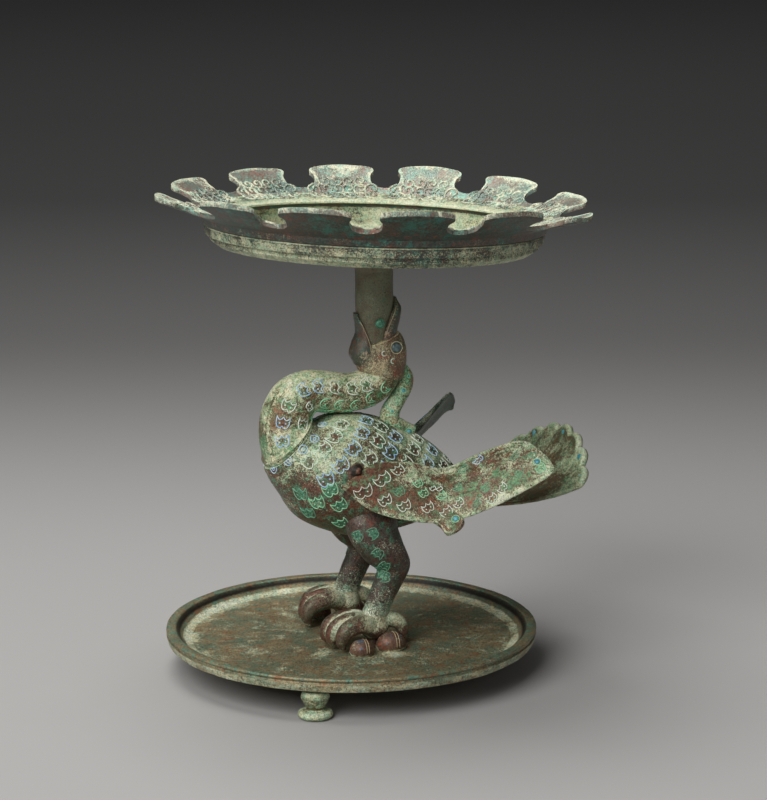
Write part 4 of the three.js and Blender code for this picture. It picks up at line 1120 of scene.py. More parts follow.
bm = spun([(0, -2.2), (2.3, -2.2), (2.3, 0.1), (1.7, 0.95), (0, 1.35)], 32, 0.4)
pin_place = Matrix.Translation((0, STEM_RADIUS, STEM_FOOT + PIN_UP)) @ Matrix.Rotation(-math.pi / 2, 4, "X")
bmesh.ops.transform(bm, matrix=pin_place, verts=bm.verts)
pin = finish_piece("stem_pin_head", bm, FINISH["pin"], ["stem_pin"])
paint(pin, 0.0, 0.0)

# %% [markdown]
# ## The bowl of the basin
# The basin has a low band, a flared wall and, inside the rim, a shelf that slopes down to the bowl.
# All of that is round, so it is one spun profile: up the outside, over the shelf and down the inside.
# It leans a little on its stem, as the real one does, and the lean is one transform at the end.

# %% Bowl
BASIN_RADIUS, BASIN_HEIGHT, BAND, BAND_RADIUS, WALL = 79.5, 16.9, 5.7, 73.5, 2.4
bowl_profile = [
    (0, 0), (61.5, 0), (69.9, 1), (73.4, 3.5), (BAND_RADIUS, BAND), (75.5, BAND + 0.2),
    (76.2, BAND + 4.1), (75.8, BAND + 4.45), (75.8, BAND + 4.75), (76.5, BAND + 5), (77.9, BAND + 8.1),
    (79.3, 14.9), (79.4, 16.7), (68.5, 13.9), (68, 13.7), (67.9, 12.9), (71.6, 11.8), (71.4, 10.4),
    (70.1, BAND - 0.6), (67.6, 3.8), (63.5, WALL), (0, WALL),
]


def coarse(e):
    """True for an edge that is long up the wall or across the shelf."""
    a, b = (math.hypot(*v.co.xy) for v in e.verts)
    return abs(e.verts[0].co.z - e.verts[1].co.z) > 1.5 or (68 < max(a, b) and abs(a - b) > 3)


bm = spun(bowl_profile, 240, 0.3, (0, 0), 2)
bmesh.ops.subdivide_edges(bm, edges=[e for e in bm.edges if coarse(e)], cuts=3, use_grid_fill=True)
roughen(bm, 0.1, 6, 60)
bmesh.ops.translate(bm, vec=(0, 0, STEM_TOP + 0.3), verts=bm.verts)
bmesh.ops.transform(bm, matrix=lean, verts=bm.verts)
bowl = finish_piece("basin_bowl", bm, FINISH["basin"], ["basin"])

# %% [markdown]
# ## The shape of the rim
# The rim is a conical collar with twelve axe-shaped lobes. It was bent by hand, so its pitch differs
# round the basin. A short table has each lobe's direction, pitch and length, and the collar reads
# these smoothly between the lobes, so that the rim stays one sheet.

# %% The rim's shape
LOBE_LENGTH, COLLAR_OUT, WAIST, TIP = 19.2, 3.6, 27.5, 32
SEAT_IN, SEAT_DOWN = 0.6, 0.38
SEAM_OUT, NOTCH_OUT, NOTCH_ROUND, FLARE_OUT, FLARE_RUN = 3.7, 3.65, 4.6, 8, 11.2
LOBES = [[28, 31, 1], [55, 36, 0.98], [82.2, 37, 0.99], [110.5, 33, 1], [141, 13, 1.06], [175.5, 23, 1.01],
         [205.5, 38, 0.93], [234, 46.5, 0.93], [262, 45.5, 0.9], [290.5, 38.5, 0.91], [320.5, 27, 0.98],
         [353.5, 18, 1.08]]
FLARE = [0, 0.02, 0.06, 0.2, 0.55, 0.95, 1, 0.8, 0.1]


def rim_shape(angle):
    """Pitch and length of the rim in any direction."""
    first = LOBES[0]
    ring = LOBES + [[first[0] + 360, first[1], first[2]]]
    direction = (angle - first[0]) % 360 + first[0]
    k = next(i for i, row in enumerate(ring) if row[0] > direction)
    before, after = ring[k - 1], ring[k]
    t = (direction - before[0]) / (after[0] - before[0])
    w = t * t * (3 - 2 * t)
    return math.radians(mix(before[1], after[1], w)), LOBE_LENGTH * mix(before[2], after[2], w)


def rim_place(angle, out, lift=0.0):
    """The place on the rim's upper face, at a distance out along its slope. The basin's lean comes later."""
    pitch, _ = rim_shape(angle)
    turn = math.radians(angle)
    radius = BASIN_RADIUS - SEAT_IN + out * math.cos(pitch) - lift * math.sin(pitch)
    height = BASIN_HEIGHT - SEAT_DOWN + out * math.sin(pitch) + lift * math.cos(pitch)
    return Vector((radius * math.cos(turn), radius * math.sin(turn), height))


def lobe_spread(out, sector):
    """Width of a lobe at a distance out: the whole sector at the collar, then a waist, then a flare."""
    if out <= SEAM_OUT:
        return sector - 1
    notch = min(1, (out - NOTCH_OUT) / NOTCH_ROUND)
    waist = mix(sector - 1, WAIST, math.sqrt(1 - (1 - notch) ** 2))
    return waist + (TIP - WAIST) * along(FLARE, max(0, (out - FLARE_OUT) / FLARE_RUN))


print("a lobe is wide at its waist and tip:", round(lobe_spread(9, 44), 1), round(lobe_spread(17, 44), 1))

# %% [markdown]
# ## The lobed rim
# Twelve cut-outs could be booleans, but their rounded corners and the raised border along each lobe
# would be hard to add. So the rim starts as one flat grid: each sector has a run of columns for its
# lobe and two narrow ones for the cut-out. The cut-out's faces are deleted, the grid is wrapped round
# the basin, extruded downwards for its thickness, and its sharp edges are bevelled.

# %% Lobed rim
ROW_OUT = [-2.4, -1, 0.5, 2, 3.2, 3.65, 3.85, 4.15, 4.6, 5.2, 6, 7, 8.2, 9.4, 10.6, 11.8, 13, 14.2, 15.2,
           16.2, 17, 17.8, 18.4, 18.9, 19.2]
LOBE_COLUMNS, SECTOR_COLUMNS = 20, 22
CORNER_DROP, BORDER, COLLAR_RADIUS = 1.3, 0.2, BASIN_RADIUS + 3
columns, rows = len(LOBES) * SECTOR_COLUMNS, len(ROW_OUT) - 1


def rim_direction(k, j, out):
    """The direction of column j of sector k, at a distance out."""
    angle, pitch, _ = LOBES[k]
    after = (LOBES[(k + 1) % len(LOBES)][0] - angle) % 360
    before = (angle - LOBES[k - 1][0]) % 360
    arc = math.radians(1) * COLLAR_RADIUS
    if out <= SEAM_OUT:
        radius = COLLAR_RADIUS
        left, right = -before / 2 * arc + 0.5, after / 2 * arc - 0.5
        across = mix(left, right, j / LOBE_COLUMNS) if j <= LOBE_COLUMNS else right + 0.5 * (j - LOBE_COLUMNS)
    else:
        radius = BASIN_RADIUS + out * math.cos(math.radians(pitch))
        width = lobe_spread(out, (before + after) / 2 * arc)
        across = (min(j, LOBE_COLUMNS) / LOBE_COLUMNS - 0.5) * width
        across += 0.5 * ((after - before) / 2 * arc) * max(0, 1 - (out - NOTCH_OUT) / NOTCH_ROUND)
    return angle + math.degrees(across / radius)


bm = bmesh.new()
bmesh.ops.create_grid(bm, x_segments=columns, y_segments=rows, size=1)
cells = {v: (round((v.co.x + 1) / 2 * columns), round((v.co.y + 1) / 2 * rows)) for v in bm.verts}
notches = [f for f in bm.faces if min(cells[v][0] for v in f.verts) % SECTOR_COLUMNS >= LOBE_COLUMNS
           and ROW_OUT[min(cells[v][1] for v in f.verts)] > COLLAR_OUT]
bmesh.ops.delete(bm, geom=notches, context="FACES")
for v, (column, row) in [(v, cells[v]) for v in bm.verts]:
    k, j = divmod(column, SECTOR_COLUMNS)
    out = ROW_OUT[row]
    direction = rim_direction(k % len(LOBES), j, out)
    u = 2 * min(j, LOBE_COLUMNS) / LOBE_COLUMNS - 1
    if out > FLARE_OUT:
        stretch = (rim_shape(direction)[1] - FLARE_OUT) / (LOBE_LENGTH - FLARE_OUT)
        drop = CORNER_DROP * u * u * ((out - FLARE_OUT) / FLARE_RUN) ** 3
        out = FLARE_OUT + (out - FLARE_OUT) * stretch - drop
    border = max(bump(abs(u), 1, 0.16), bump(row, rows, 3.5)) if 7 < out else 0
    v.co = rim_place(direction, out, BORDER * border)
bmesh.ops.remove_doubles(bm, verts=bm.verts, dist=0.01)
print("flat rim:", len(bm.faces), "faces")

# %% [markdown]
# ## Thickness of the rim
# A closed band can't be thickened evenly along its normals here, because the steep lobes would crowd
# at the collar. The sheet is extruded and its copy is moved straight down instead.

# %% Thickness and edges of the rim
COLLAR_PLATE, LOBE_PLATE, SHARP = 2.1, 2.2, 1.0
bm.normal_update()
if sum(f.normal.z for f in bm.faces) < 0:
    bmesh.ops.reverse_faces(bm, faces=bm.faces)
bm.normal_update()
for v in bmesh.ops.extrude_face_region(bm, geom=bm.faces[:], use_keep_orig=True)["geom"]:
    if isinstance(v, bmesh.types.BMVert):
        v.co.z -= mix(COLLAR_PLATE, LOBE_PLATE, clamped((math.hypot(v.co.x, v.co.y) - 82) / 10))
bmesh.ops.recalc_face_normals(bm, faces=bm.faces)
rim_edges = [e for e in bm.edges if len(e.link_faces) == 2 and e.calc_face_angle(0) > SHARP]
bmesh.ops.bevel(bm, geom=rim_edges, offset=0.35, offset_type="OFFSET", segments=2, profile=0.5,
                affect="EDGES", material=-1, clamp_overlap=True)
roughen(bm, 0.12, 6, 61)
basin_seat = lean @ Matrix.Translation((0, 0, STEM_TOP + 0.3))
bmesh.ops.transform(bm, matrix=basin_seat, verts=bm.verts)
rim = finish_piece("basin_lobed_rim", bm, FINISH["rim"])
rim.data.materials.append(FINISH["basin"])
for polygon in rim.data.polygons:
    polygon.material_index = 1 if polygon.normal.z < -0.25 else 0

# %% [markdown]
# ## Crust on the basin
# The shelf inside the rim is pale with crust, and so is the floor, where water and earth would lie.
# The hollow under the shelf's lip is painted dark as shade, and so is a thin line in the groove round
# the outside. On the rim the borders of the lobes are worn pale and the corner where rim and bowl
# meet is dark. The undersides have kept the dark skin of the wall.

# %% Crust on bowl and rim
SHELF_LOW, LIP_LOW = 12.7, 11.4


def basin_crust(p, n):
    local = basin_seat.inverted() @ p
    r = math.hypot(local.x, local.y)
    if n.z > 0.1 or n.x * p.x + n.y * p.y < 0:
        if local.z > SHELF_LOW:
            return 0.66 + 0.5 * bump(r, 68, 1.6) - 0.5 * bump(r, 75.5, 3.5) * (0.7 + grain(p, 7, 5))
        # Under the shelf's lip the crust is set below zero: painted shade.
        return -0.6 if local.z > LIP_LOW else 0.6 + 0.35 * grain(p, 9, 9) + 0.2 * max(0, (8 - local.z) / 8)
    low = clamped((11 - local.z) / 2.5)
    # A painted shadow line in the groove round the outside of the wall.
    line = -1.2 * bump(local.z, BAND + 4.6, 0.5)
    return 0.4 * low + 0.2 * max(0, (5 - local.z) / 5) + 0.25 * grain((p.x, p.y, 0), 25, 9) + line


def rim_crust(p, n):
    local = basin_seat.inverted() @ p
    r = math.hypot(local.x, local.y)
    if n.z < -0.1:
        return -0.15 + 0.2 * grain(p, 12, 9)
    direction = math.degrees(math.atan2(local.y, local.x)) % 360
    angle = min((row[0] for row in LOBES), key=lambda a: abs((direction - a + 180) % 360 - 180))
    out = math.hypot(r - BASIN_RADIUS + SEAT_IN, local.z - BASIN_HEIGHT + SEAT_DOWN)
    across = abs(math.radians((direction - angle + 180) % 360 - 180)) * r
    side = bump(across, lobe_spread(out, 44) / 2, 2.2) if out > 4 else 0
    tip = bump(out, rim_shape(direction)[1], 2.8)
    panel = -0.45 * bump(out, 12.5, 7) * (1 - side) * (0.8 + grain(p, 14, 3))
    hollow = -1.05 * bump(out, 3.2, 6.5)
    upward = clamped(2.5 * (n.z - 0.3))
    face = (0.5 * max(side, tip) + panel) * upward - 0.3 * (1 - upward)
    return 0.42 + face + 0.3 * grain(p, 11, 3) + hollow


paint(bowl, 0.0, 0.12, basin_crust, lambda p, n: 0.5 * grain(p, 15, 2))
paint(rim, 0.0, 0.5, rim_crust, lambda p, n: 0.5 * grain(p, 13, 6))

# %% [markdown]
# ## Eyes
# The eyes are worn grey-blue stones in a raised ring. Polished stone is smooth and a little cloudy,
# so it gets low roughness, two near tones and a faint bump. Stone and ring are spun and then laid on
# the cheek by one matrix.

# %% Stone eyes
def stone_finish(name, tone, shine):
    """Polished stone with a cloud of a second tone, 1.4 mm across."""
    material, tree, shader, coords = new_material(name)
    cloud = noise_at(tree, coords, 1.4, 4, 0.4)
    colour = blend(tree, mask(tree, 0.35, 0.65, (cloud, 1.0)), linear(tone), linear(shine))
    tree.links.new(colour, shader.inputs["Base Color"])
    shader.inputs["Roughness"].default_value = 0.35
    wear = add(tree, "ShaderNodeBump", {}, Strength=0.3, Distance=0.1 * MM, Height=cloud)
    tree.links.new(wear.outputs["Normal"], shader.inputs["Normal"])
    return material


EYE_X, EYE_OUT, EYE_Z = -7.3, 0.475 * 19.4, HEAD_Z + 0.87 * HEAD_HEIGHT
EYE_TILT = math.radians(8)


def eye_place(side):
    tilt = Matrix.Rotation(-side * math.pi / 2 + side * EYE_TILT, 4, "X")
    return Matrix.Translation((EYE_X, side * EYE_OUT, EYE_Z)) @ tilt


EYE_STONE = stone_finish("polished_grey_blue_stone", "#3f4f50", "#66797a")
for side, word in SIDES:
    bm = spun([(0, -1.3), (2.35, -1.3), (2.35, 0.2), (1.8, 0.9), (0, 1.35)], 36, 0.5)
    bmesh.ops.transform(bm, matrix=eye_place(side), verts=bm.verts)
    finish_piece(f"{word}_eye_stone", bm, EYE_STONE, [f"eye_{word}"])
    bm = spun([(2.4, -0.9), (2.8, -0.9), (2.85, 0.45), (2.7, 0.62), (2.5, 0.5), (2.4, -0.9)], 40, 0.1)
    bmesh.ops.transform(bm, matrix=eye_place(side), verts=bm.verts)
    ring = finish_piece(f"{word}_eye_ring", bm, FINISH["head"])
    paint(ring, 0.1, 0.8, lambda p, n: 0.9)

# %% [markdown]
# ## Drawing on a casting
# Feathers are drawn on the casting with thin wires and pastes that were pressed into cut grooves.
# One feather has three sharp points towards the head, two round ends towards the tail, and a dot in
# each half. It is drawn as a flat line round the place where it sits, and each of its points is then
# shot along the normal onto the casting, so that the wire follows every swell of the skin.

# %% Draw lines on a casting
FEATHER = [(0, -1), (0.2, -0.8), (0.3, -0.52), (0.2, -0.2), (0, 0), (0.2, 0.2), (0.3, 0.52), (0.2, 0.8),
           (0, 1), (0.3, 1.05), (0.62, 1), (0.88, 0.8), (1, 0.5), (0.95, 0.2), (0.8, 0), (0.95, -0.2),
           (1, -0.5), (0.88, -0.8), (0.62, -1), (0.3, -1.05)]
CRESCENT = [(0, -1), (0.35, -1.02), (0.7, -0.85), (0.95, -0.45), (1, 0), (0.95, 0.45), (0.7, 0.85),
            (0.35, 1.02), (0, 1)]
HORNS = [(0, 1), (0.3, 0.6), (0.42, 0.2), (0.34, -0.1)]


def tree_of(obj):
    return BVHTree.FromObject(obj, bpy.context.evaluated_depsgraph_get())


def seat(trees, place, outwards):
    """Shoots a place onto one casting, or onto the first of several. Gives the hit and its normal."""
    trees = trees if isinstance(trees, tuple) else (trees,)
    shots = [tree.ray_cast((place + 5 * outwards) * MM, -outwards, 14 * MM) for tree in trees]
    shots = [shot for shot in shots if shot[0] is not None] or [trees[0].find_nearest(place * MM)]
    hit = min(shots, key=lambda shot: shot[3])
    return hit[0] / MM, hit[1]


def frame_on(surface, p, q, outwards_hint):
    """Directions on a surface(p, q): along p, across it, and out."""
    step = 0.004
    ahead = (surface(p + step, q) - surface(p - step, q)).normalized()
    out = ahead.cross(surface(p, q + step) - surface(p, q - step)).normalized()
    if out.dot(outwards_hint) < 0:
        out = -out
    return ahead, out.cross(ahead).normalized(), out


def draw(tree, centre, ahead, across, out, shape, length, width, closed=True, shift=0.0, turn=0.0):
    """One line on a casting: its points with their normals."""
    c, s = math.cos(turn), math.sin(turn)
    ahead, across = ahead * c + across * s, across * c - ahead * s
    return [seat(tree, centre + ahead * length * (u + shift) + across * width * v, out)
            for u, v in shape], closed


print("points in one feather:", len(FEATHER))

# %% [markdown]
# ## Wires, dots and pastes
# A drawn line becomes a thin round wire through a curve with a bevel, which keeps its thickness in
# every bend. Dots are flattened balls. The pastes are ground minerals: lime white, azurite blue and
# malachite green. They are dull and matt, with a cloud of a second tone and a fine grain.

# %% Wires, dots and pastes
def wires(name, lines, material, radius=0.3, raised=0.04):
    """Turns drawn lines into thin round wires that stand a little out of the casting."""
    curve = bpy.data.curves.new(name, "CURVE")
    curve.dimensions = "3D"
    curve.bevel_depth = radius * MM
    curve.bevel_resolution = 0
    curve.use_fill_caps = True
    for points, closed in lines:
        spline = curve.splines.new("POLY")
        spline.points.add(len(points) - 1)
        spline.use_cyclic_u = closed
        for knot, (place, normal) in zip(spline.points, points):
            knot.co = (*((place + normal * raised) * MM), 1)
    bm = settled(put(name, curve))
    bmesh.ops.scale(bm, vec=(1 / MM, 1 / MM, 1 / MM), verts=bm.verts)
    return finish_piece(name, bm, material)


def beads(name, places, material, radius=0.42, flat=0.55):
    """Small round dots pressed into the casting: flattened balls."""
    bm = bmesh.new()
    for place, normal, share in places:
        turn = normal.to_track_quat("Z", "Y").to_matrix().to_4x4()
        matrix = Matrix.Translation(place) @ turn @ Matrix.Diagonal((1, 1, flat, 1))
        bmesh.ops.create_icosphere(bm, subdivisions=2, radius=radius * share, matrix=matrix)
    return finish_piece(name, bm, material)


def paste(name, tone, second, rough=0.6):
    """Inlay paste: two tones in a cloud 2.4 mm across, and a grain of 0.4 mm."""
    material, tree, shader, coords = new_material(name)
    cloud, dust = noise_at(tree, coords, 2.4, 4, 0.6, 3), noise_at(tree, coords, 0.4, 3, 0.6, 4)
    clouds = mask(tree, 0.55, 0.85, (cloud, 1.0), (dust, 0.4))
    tree.links.new(blend(tree, clouds, linear(tone), linear(second)), shader.inputs["Base Color"])
    shader.inputs["Roughness"].default_value = rough
    return material


PASTES = {
    "white": paste("white_lime_paste", "#f4f7ea", "#c3dcc6"),
    "blue": paste("blue_copper_paste", "#8fc0ee", "#dcf0f4"),
    "mint": paste("mint_malachite_paste", "#7fd6a6", "#b4e6bc"),
    "dull": paste("weathered_malachite_paste", "#5d9c80", "#83b898"),
    "earth": paste("pale_earth_line", "#cdb48c", "#d8cba4"),
}
print("pastes:", ", ".join(PASTES))

# %% [markdown]
# ## One feather
# A feather is drawn, not made, when it is placed: its lines and dots wait in a list until all
# feathers of a casting and colour are known, and are then laid as one piece. Round the pastes the
# skin of the bronze has changed too, so `tint` raises or lowers a painted attribute near them.

# %% Feather, crescent and tint
drawn, spots, hosts = {}, {}, {}


def feather(host, surface, p, q, hint, colour, length=6.0, width=3.1, dots=True, moon=False, turn=0.0):
    """Draws one inlaid feather, or a crescent with a horn, on a host casting."""
    tree, ahead_sign = hosts[host]
    ahead, across, out = frame_on(surface, p, q, hint)
    ahead = ahead * ahead_sign
    across = out.cross(ahead).normalized()
    centre = surface(p, q)
    lines, dots_here = drawn.setdefault((host, colour), ([], []))
    spots.setdefault((host, colour), []).append(centre)
    shape = CRESCENT if moon else FEATHER
    lines.append(draw(tree, centre, ahead, across, out, shape, length, width, not moon, -0.5, turn))
    if moon:
        lines.append(draw(tree, centre, ahead, across, out, HORNS, length, width, False, -0.5, turn))
    if dots:
        for v in (-0.47, 0.47):
            points, _ = draw(tree, centre, ahead, across, out, [(0.58, v)], length, width, False, -0.5, turn)
            dots_here.append((*points[0], 1.0))


def lay_feathers(wire, dull_wire, dot):
    """Makes the wires and dots of all feathers drawn so far. The radii are in millimetres."""
    for (host, tone), (lines, dots) in drawn.items():
        wires(f"{host}_{tone}_feather_wires", lines, PASTES[tone], dull_wire if tone == "dull" else wire)
        if dots:
            beads(f"{host}_{tone}_feather_dots", dots, PASTES[tone], dot)
    drawn.clear()


def tint(obj, name, places, reach, amount):
    """Raises or lowers a painted attribute round some places, in millimetres."""
    for vert, entry in zip(obj.data.vertices, obj.data.attributes[name].data):
        near = min((vert.co / MM - place).length for place in places)
        entry.value += amount * max(0.0, 1 - (near / reach) ** 4)


def spots_of(host, *tones):
    """The middles of a casting's feathers in some colours."""
    return [place for tone in tones for place in spots[(host, tone)]]


print("dots on a feather: 2")

# %% [markdown]
# ## Rings of feathers on body and neck
# On the body the feathers stand in rings that slant a little backwards. On the neck they stand in
# rings of six with the throat strip between. Low down on the breast the paste has turned to mint.
# The rings are short tables of place, first angle and colour, because the real rows are uneven.

# %% Feathers on the body
LIMBS = {"body": body_stations, "neck": neck_stations}
hosts.update({"body": (tree_of(body), -1), "neck": (tree_of(neck), -1)})
body_rings = [(0.735, 30, "white"), (0.6, 18, "blue"), (0.5, 25, "white"), (0.415, 33, "blue"),
              (0.335, 22, "white"), (0.262, 32, "blue"), (0.19, 24, "white"), (0.12, 34, "mint")]
breast_marks = [(0.67, 106, "mint"), (0.68, 126, "mint"), (0.6, 117, "mint"), (0.55, 138, "mint"),
                (0.75, 135, "dull"), (0.67, 146, "dull"), (0.45, 120, "dull"), (0.35, 128, "dull")]


def limb_feather(limb, t, degrees, side, tone, length, width, **how):
    """A feather on body or neck, seen straight from outside."""
    stations, a = LIMBS[limb], side * math.radians(degrees)
    spine = limb_place([row[:4] + [0.01, 0.01] for row in stations], t, a)
    hint = limb_place(stations, t, a) - spine
    feather(limb, lambda p, q: limb_place(stations, p, q), t, a, hint, tone, length, width, **how)


for t0, first, colour in body_rings:
    for step in range(8):
        degrees = first + 20.5 * step * (1 if t0 > 0.3 else 1.25)
        t = t0 + 0.0014 * (degrees - 20)
        if degrees > 104 or t > 0.86:
            continue
        for side, _ in SIDES:
            small = t < 0.25
            place = limb_place(body_stations, t, side * math.radians(degrees))
            if side > 0 and (place - hole).length < 6:
                continue
            limb_feather("body", t, degrees, side, colour, 6.3 - small, 3.4 - 0.6 * small, turn=-side * 0.5)
for t, degrees, tone in breast_marks:
    for side, _ in SIDES:
        limb_feather("body", t, degrees, side, tone, 6.0, 3.2, turn=-side * 0.5)
print("feathers on the body:", sum(len(places) for places in spots.values()))

# %% [markdown]
# ## Feathers on the neck
# The outer rows of the neck are whole feathers, with mint ones up its back. Along the throat strip
# most marks are crescents with one horn. When all are drawn, the wires of body and neck are laid.

# %% Feathers on the neck
neck_outer = [(0.23, "blue"), (0.33, "blue"), (0.41, "white"), (0.51, "blue"), (0.58, "blue"),
              (0.65, "white"), (0.73, "white"), (0.82, "white")]
neck_inner = [(0.28, 63, "white", 5, 2.6), (0.46, 66, "white", 3.4, 2), (0.6, 63, "mint", 4.2, 2.6),
              (0.68, 60, "mint", 4.2, 2.6), (0.75, 57, "mint", 4.2, 2.6), (0.82, 69, "mint", 4.2, 2.6),
              (0.91, 72, "mint", 4.2, 2.6)]
for side, _ in SIDES:
    for t, colour in neck_outer:
        limb_feather("neck", t, 113, side, colour, 5.2, 2.9)
        limb_feather("neck", t, 18, side, "mint", 5.2, 2.5)
    for t, degrees, tone, length, width in neck_inner:
        limb_feather("neck", t, degrees, side, tone, length, width, moon=tone == "mint")
tint(body, "salts", spots_of("body", "mint", "dull"), 3.0, 0.75)
tint(body, "crust", spots_of("body", "white", "blue"), 2.6, -0.35)
tint(neck, "crust", spots_of("neck", "white", "blue"), 2.2, -0.35)
lay_feathers(0.3, 0.3, 0.42)

# %% [markdown]
# ## Feathers on wings and thighs
# The wing's root carries large feathers along its lower edge and smaller ones along its middle, and
# each thigh has a few dull mint ones. No rule would give their places, which were read from the
# photograph, so they are a table of place, size and colour.

# %% Feathers on wings and thighs
wing_marks = [
    (0.1, 0.667, 5.2, 3.9, "white"), (0.18, 0.347, 5.2, 3.9, "white"), (0.24, 0.16, 4.6, 2.9, "white"),
    (0.19, 0.747, 4.4, 2.8, "white"), (0.26, 0.787, 4.4, 2.8, "white"), (0.35, 0.773, 4.2, 2.5, "white"),
    (0.43, 0.853, 4.4, 2.6, "white"), (0.31, 0.387, 3.6, 2.1, "mint"), (0.33, 0.547, 3.6, 2.1, "mint"),
    (0.41, 0.573, 3.6, 2.1, "mint"), (0.24, 0.56, 4, 2.3, "dull"), (0.37, 0.44, 2.2, 1.4, "white"),
    (0.4, 0.44, 2.2, 1.4, "white"), (0.55, 0.133, 4, 2.3, "blue"), (0.5, 0.173, 4, 2.3, "dull"),
    (0.64, 0.787, 3.6, 2.2, "white"), (0.6, 0.88, 3.6, 2.3, "white"), (0.54, 0.853, 3.6, 2.3, "dull"),
    (0.48, 0.76, 3.6, 2.3, "white"), (0.48, 0.493, 3.4, 2, "dull"), (0.58, 0.68, 3.4, 2, "dull"),
    (0.69, 0.307, 3.4, 2, "dull"), (0.71, 0.64, 3.4, 2, "dull"), (0.77, 0.28, 3, 1.8, "dull"),
    (0.82, 0.653, 3.4, 2.1, "mint"),
]
thigh_marks = [(0.09, 75), (0.085, 38), (0.227, 66), (0.348, 57), (0.518, 51), (0.43, 20)]
for side, word in SIDES:
    plate, wing_host, leg_host = wing_left if side > 0 else wing_right, f"{word}_wing", f"{word}_leg"
    hosts[wing_host] = (tree_of(plate), 1)
    hosts[leg_host] = (tree_of(legs[side]), -1)
    for t, v, length, width, tone in wing_marks:
        feather(wing_host, lambda p, q: wing_section(side, p, q)[0], t, v, wing_section(side, t, v)[1], tone,
                length, width, dots=length > 3, turn=-side * 0.95)
    for t, degrees in thigh_marks:
        feather(leg_host, lambda p, q: limb_place(leg_stations[side], p, q), (1 + 7 * t) / 8,
                side * math.radians(degrees), Vector((0, side, 0)), "dull", 4.6, 2.4, turn=-side * 1.2)
    tint(legs[side], "salts", spots_of(leg_host, "dull"), 2.6, 0.7)
    tint(plate, "crust", spots_of(wing_host, "white"), 2.4, -0.5)
    tint(plate, "salts", spots_of(wing_host, "mint", "dull"), 1.8, 0.45)
lay_feathers(0.25, 0.2, 0.34)

# %% [markdown]
# ## Turquoise stones
# Small turquoise stones sit on the wings, the hooks, the tail's feathers and the plume. Each is a
# flattened bead. All but the tail's lie in a thin ring of mint paste, their seat.

# %% Turquoise stones
RING = [(math.cos(a * math.pi / 6), math.sin(a * math.pi / 6)) for a in range(12)]
tail_tree, plume_tree, head_tree = tree_of(tail), tree_of(plume), tree_of(head)
hook_trees = {side: tree_of(pieces[f"{word}_wing_hook"]) for side, word in SIDES}
stones, stone_rings = [], []
for side, word in SIDES:
    stones.append((*seat(hosts[f"{word}_wing"][0], *wing_section(side, 0.8, 0.44)), 1.5))
    middle, run, down, out = hook_frame(side)
    stones.append((*seat(hook_trees[side], middle + run * 1.5 + out, out), 1.5))
for k, share in ((0, 0.7), (1, 1.7), (3, 1.2), (5, 1.7), (6, 0.7)):
    s = -1 + (2 * k + 1) / FEATHERS
    stones.append((*seat(tail_tree, tail_place(s, 0.95), tail_normal(s, 0.95)), share))
for t, degrees, share in ((0.34, 78, 1.0), (0.57, 78, 0.6), (0.15, 100, 0.6), (0.94, 82, 1.5)):
    for side, _ in SIDES:
        place = limb_place(plume_stations, t, side * math.radians(degrees))
        stones.append((*seat(plume_tree, place, Vector((0, side, 0))), share))
TURQUOISE = paste("turquoise_stone", "#2f7f95", "#6fb9c4", 0.35)
beads("turquoise_stones", stones, TURQUOISE, 0.85, 0.5)
seats = (tail_tree, plume_tree, *hook_trees.values(), hosts["left_wing"][0], hosts["right_wing"][0])
for place, normal, share in stones:
    sideways = normal.orthogonal().normalized()
    tree = min(seats, key=lambda tree: tree.find_nearest(place * MM)[3])
    if tree is not tail_tree:
        size = 1.2 * share
        stone_rings.append(draw(tree, place, sideways, normal.cross(sideways), normal, RING, size, size))

# %% [markdown]
# ## Rosettes on the collar
# Blue rosettes of two rings stand round the collar. They are drawn and laid as the feathers are, from
# one ring shape in two sizes, together with the seats of the stones.

# %% Rosettes and stone seats
rosettes = []
for t, degrees in ((0.893, 54), (0.935, 81), (0.972, 114), (0.86, 20), (0.985, 150)):
    for side, _ in SIDES:
        a = side * math.radians(degrees)
        ways = frame_on(lambda p, q: limb_place(body_stations, p, q), t, a, Vector((0.5, 0.8 * side, 0.6)))
        for size in (2.0, 0.7):
            rosettes.append(draw(hosts["body"][0], limb_place(body_stations, t, a), *ways, RING, size, size))
wires("stone_seats", stone_rings, PASTES["mint"], 0.2)
wires("collar_rosettes", rosettes, PASTES["blue"], 0.24)

# %% [markdown]
# ## Cheek marks and thin lines
# Two small white crescents mark each cheek. A thin pale line follows the edges of the beak, and fine
# arcs stand for the scales of the serpents. Engraved lines would need very fine faces, so they are
# laid as wires too, only thinner.

# %% Cheek crescents, beak lines and serpent scales
CHEEK_MOON = [(math.cos(a / 8 * math.pi), math.sin(a / 8 * math.pi)) for a in range(-5, 6)]
marks, arcs = [], []
for side, _ in SIDES:
    for x, drop, size, turn in ((-1.5, 2.3, 1.1, -0.15), (-5.8, 6.0, 1.15, 0.2)):
        place = Vector((x, side * 9, EYE_Z - drop))
        ways = (Vector((1, 0, 0)), Vector((0, 0, 1)), Vector((0, side, 0)))
        marks.append(draw(head_tree, place, *ways, CHEEK_MOON, size, size, False, 0, turn))
wires("cheek_crescents", marks, PASTES["white"], 0.26)
wires("beak_edge_lines", beak_lines, PASTES["earth"], 0.13)
for coil, middle, side, radius in coils:
    tree = tree_of(coil)
    for step in (-0.45, -0.2):
        spine = Vector((step * radius, 0, 0))
        spokes = [Vector((0, side * radius * math.cos(math.radians(b)), radius * math.sin(math.radians(b))))
                  for b in range(20, 131, 10)]
        arcs.append(([seat(tree, middle + spine + spoke, spoke.normalized()) for spoke in spokes], False))
wires("serpent_scale_arcs", arcs, PASTES["earth"], 0.13)

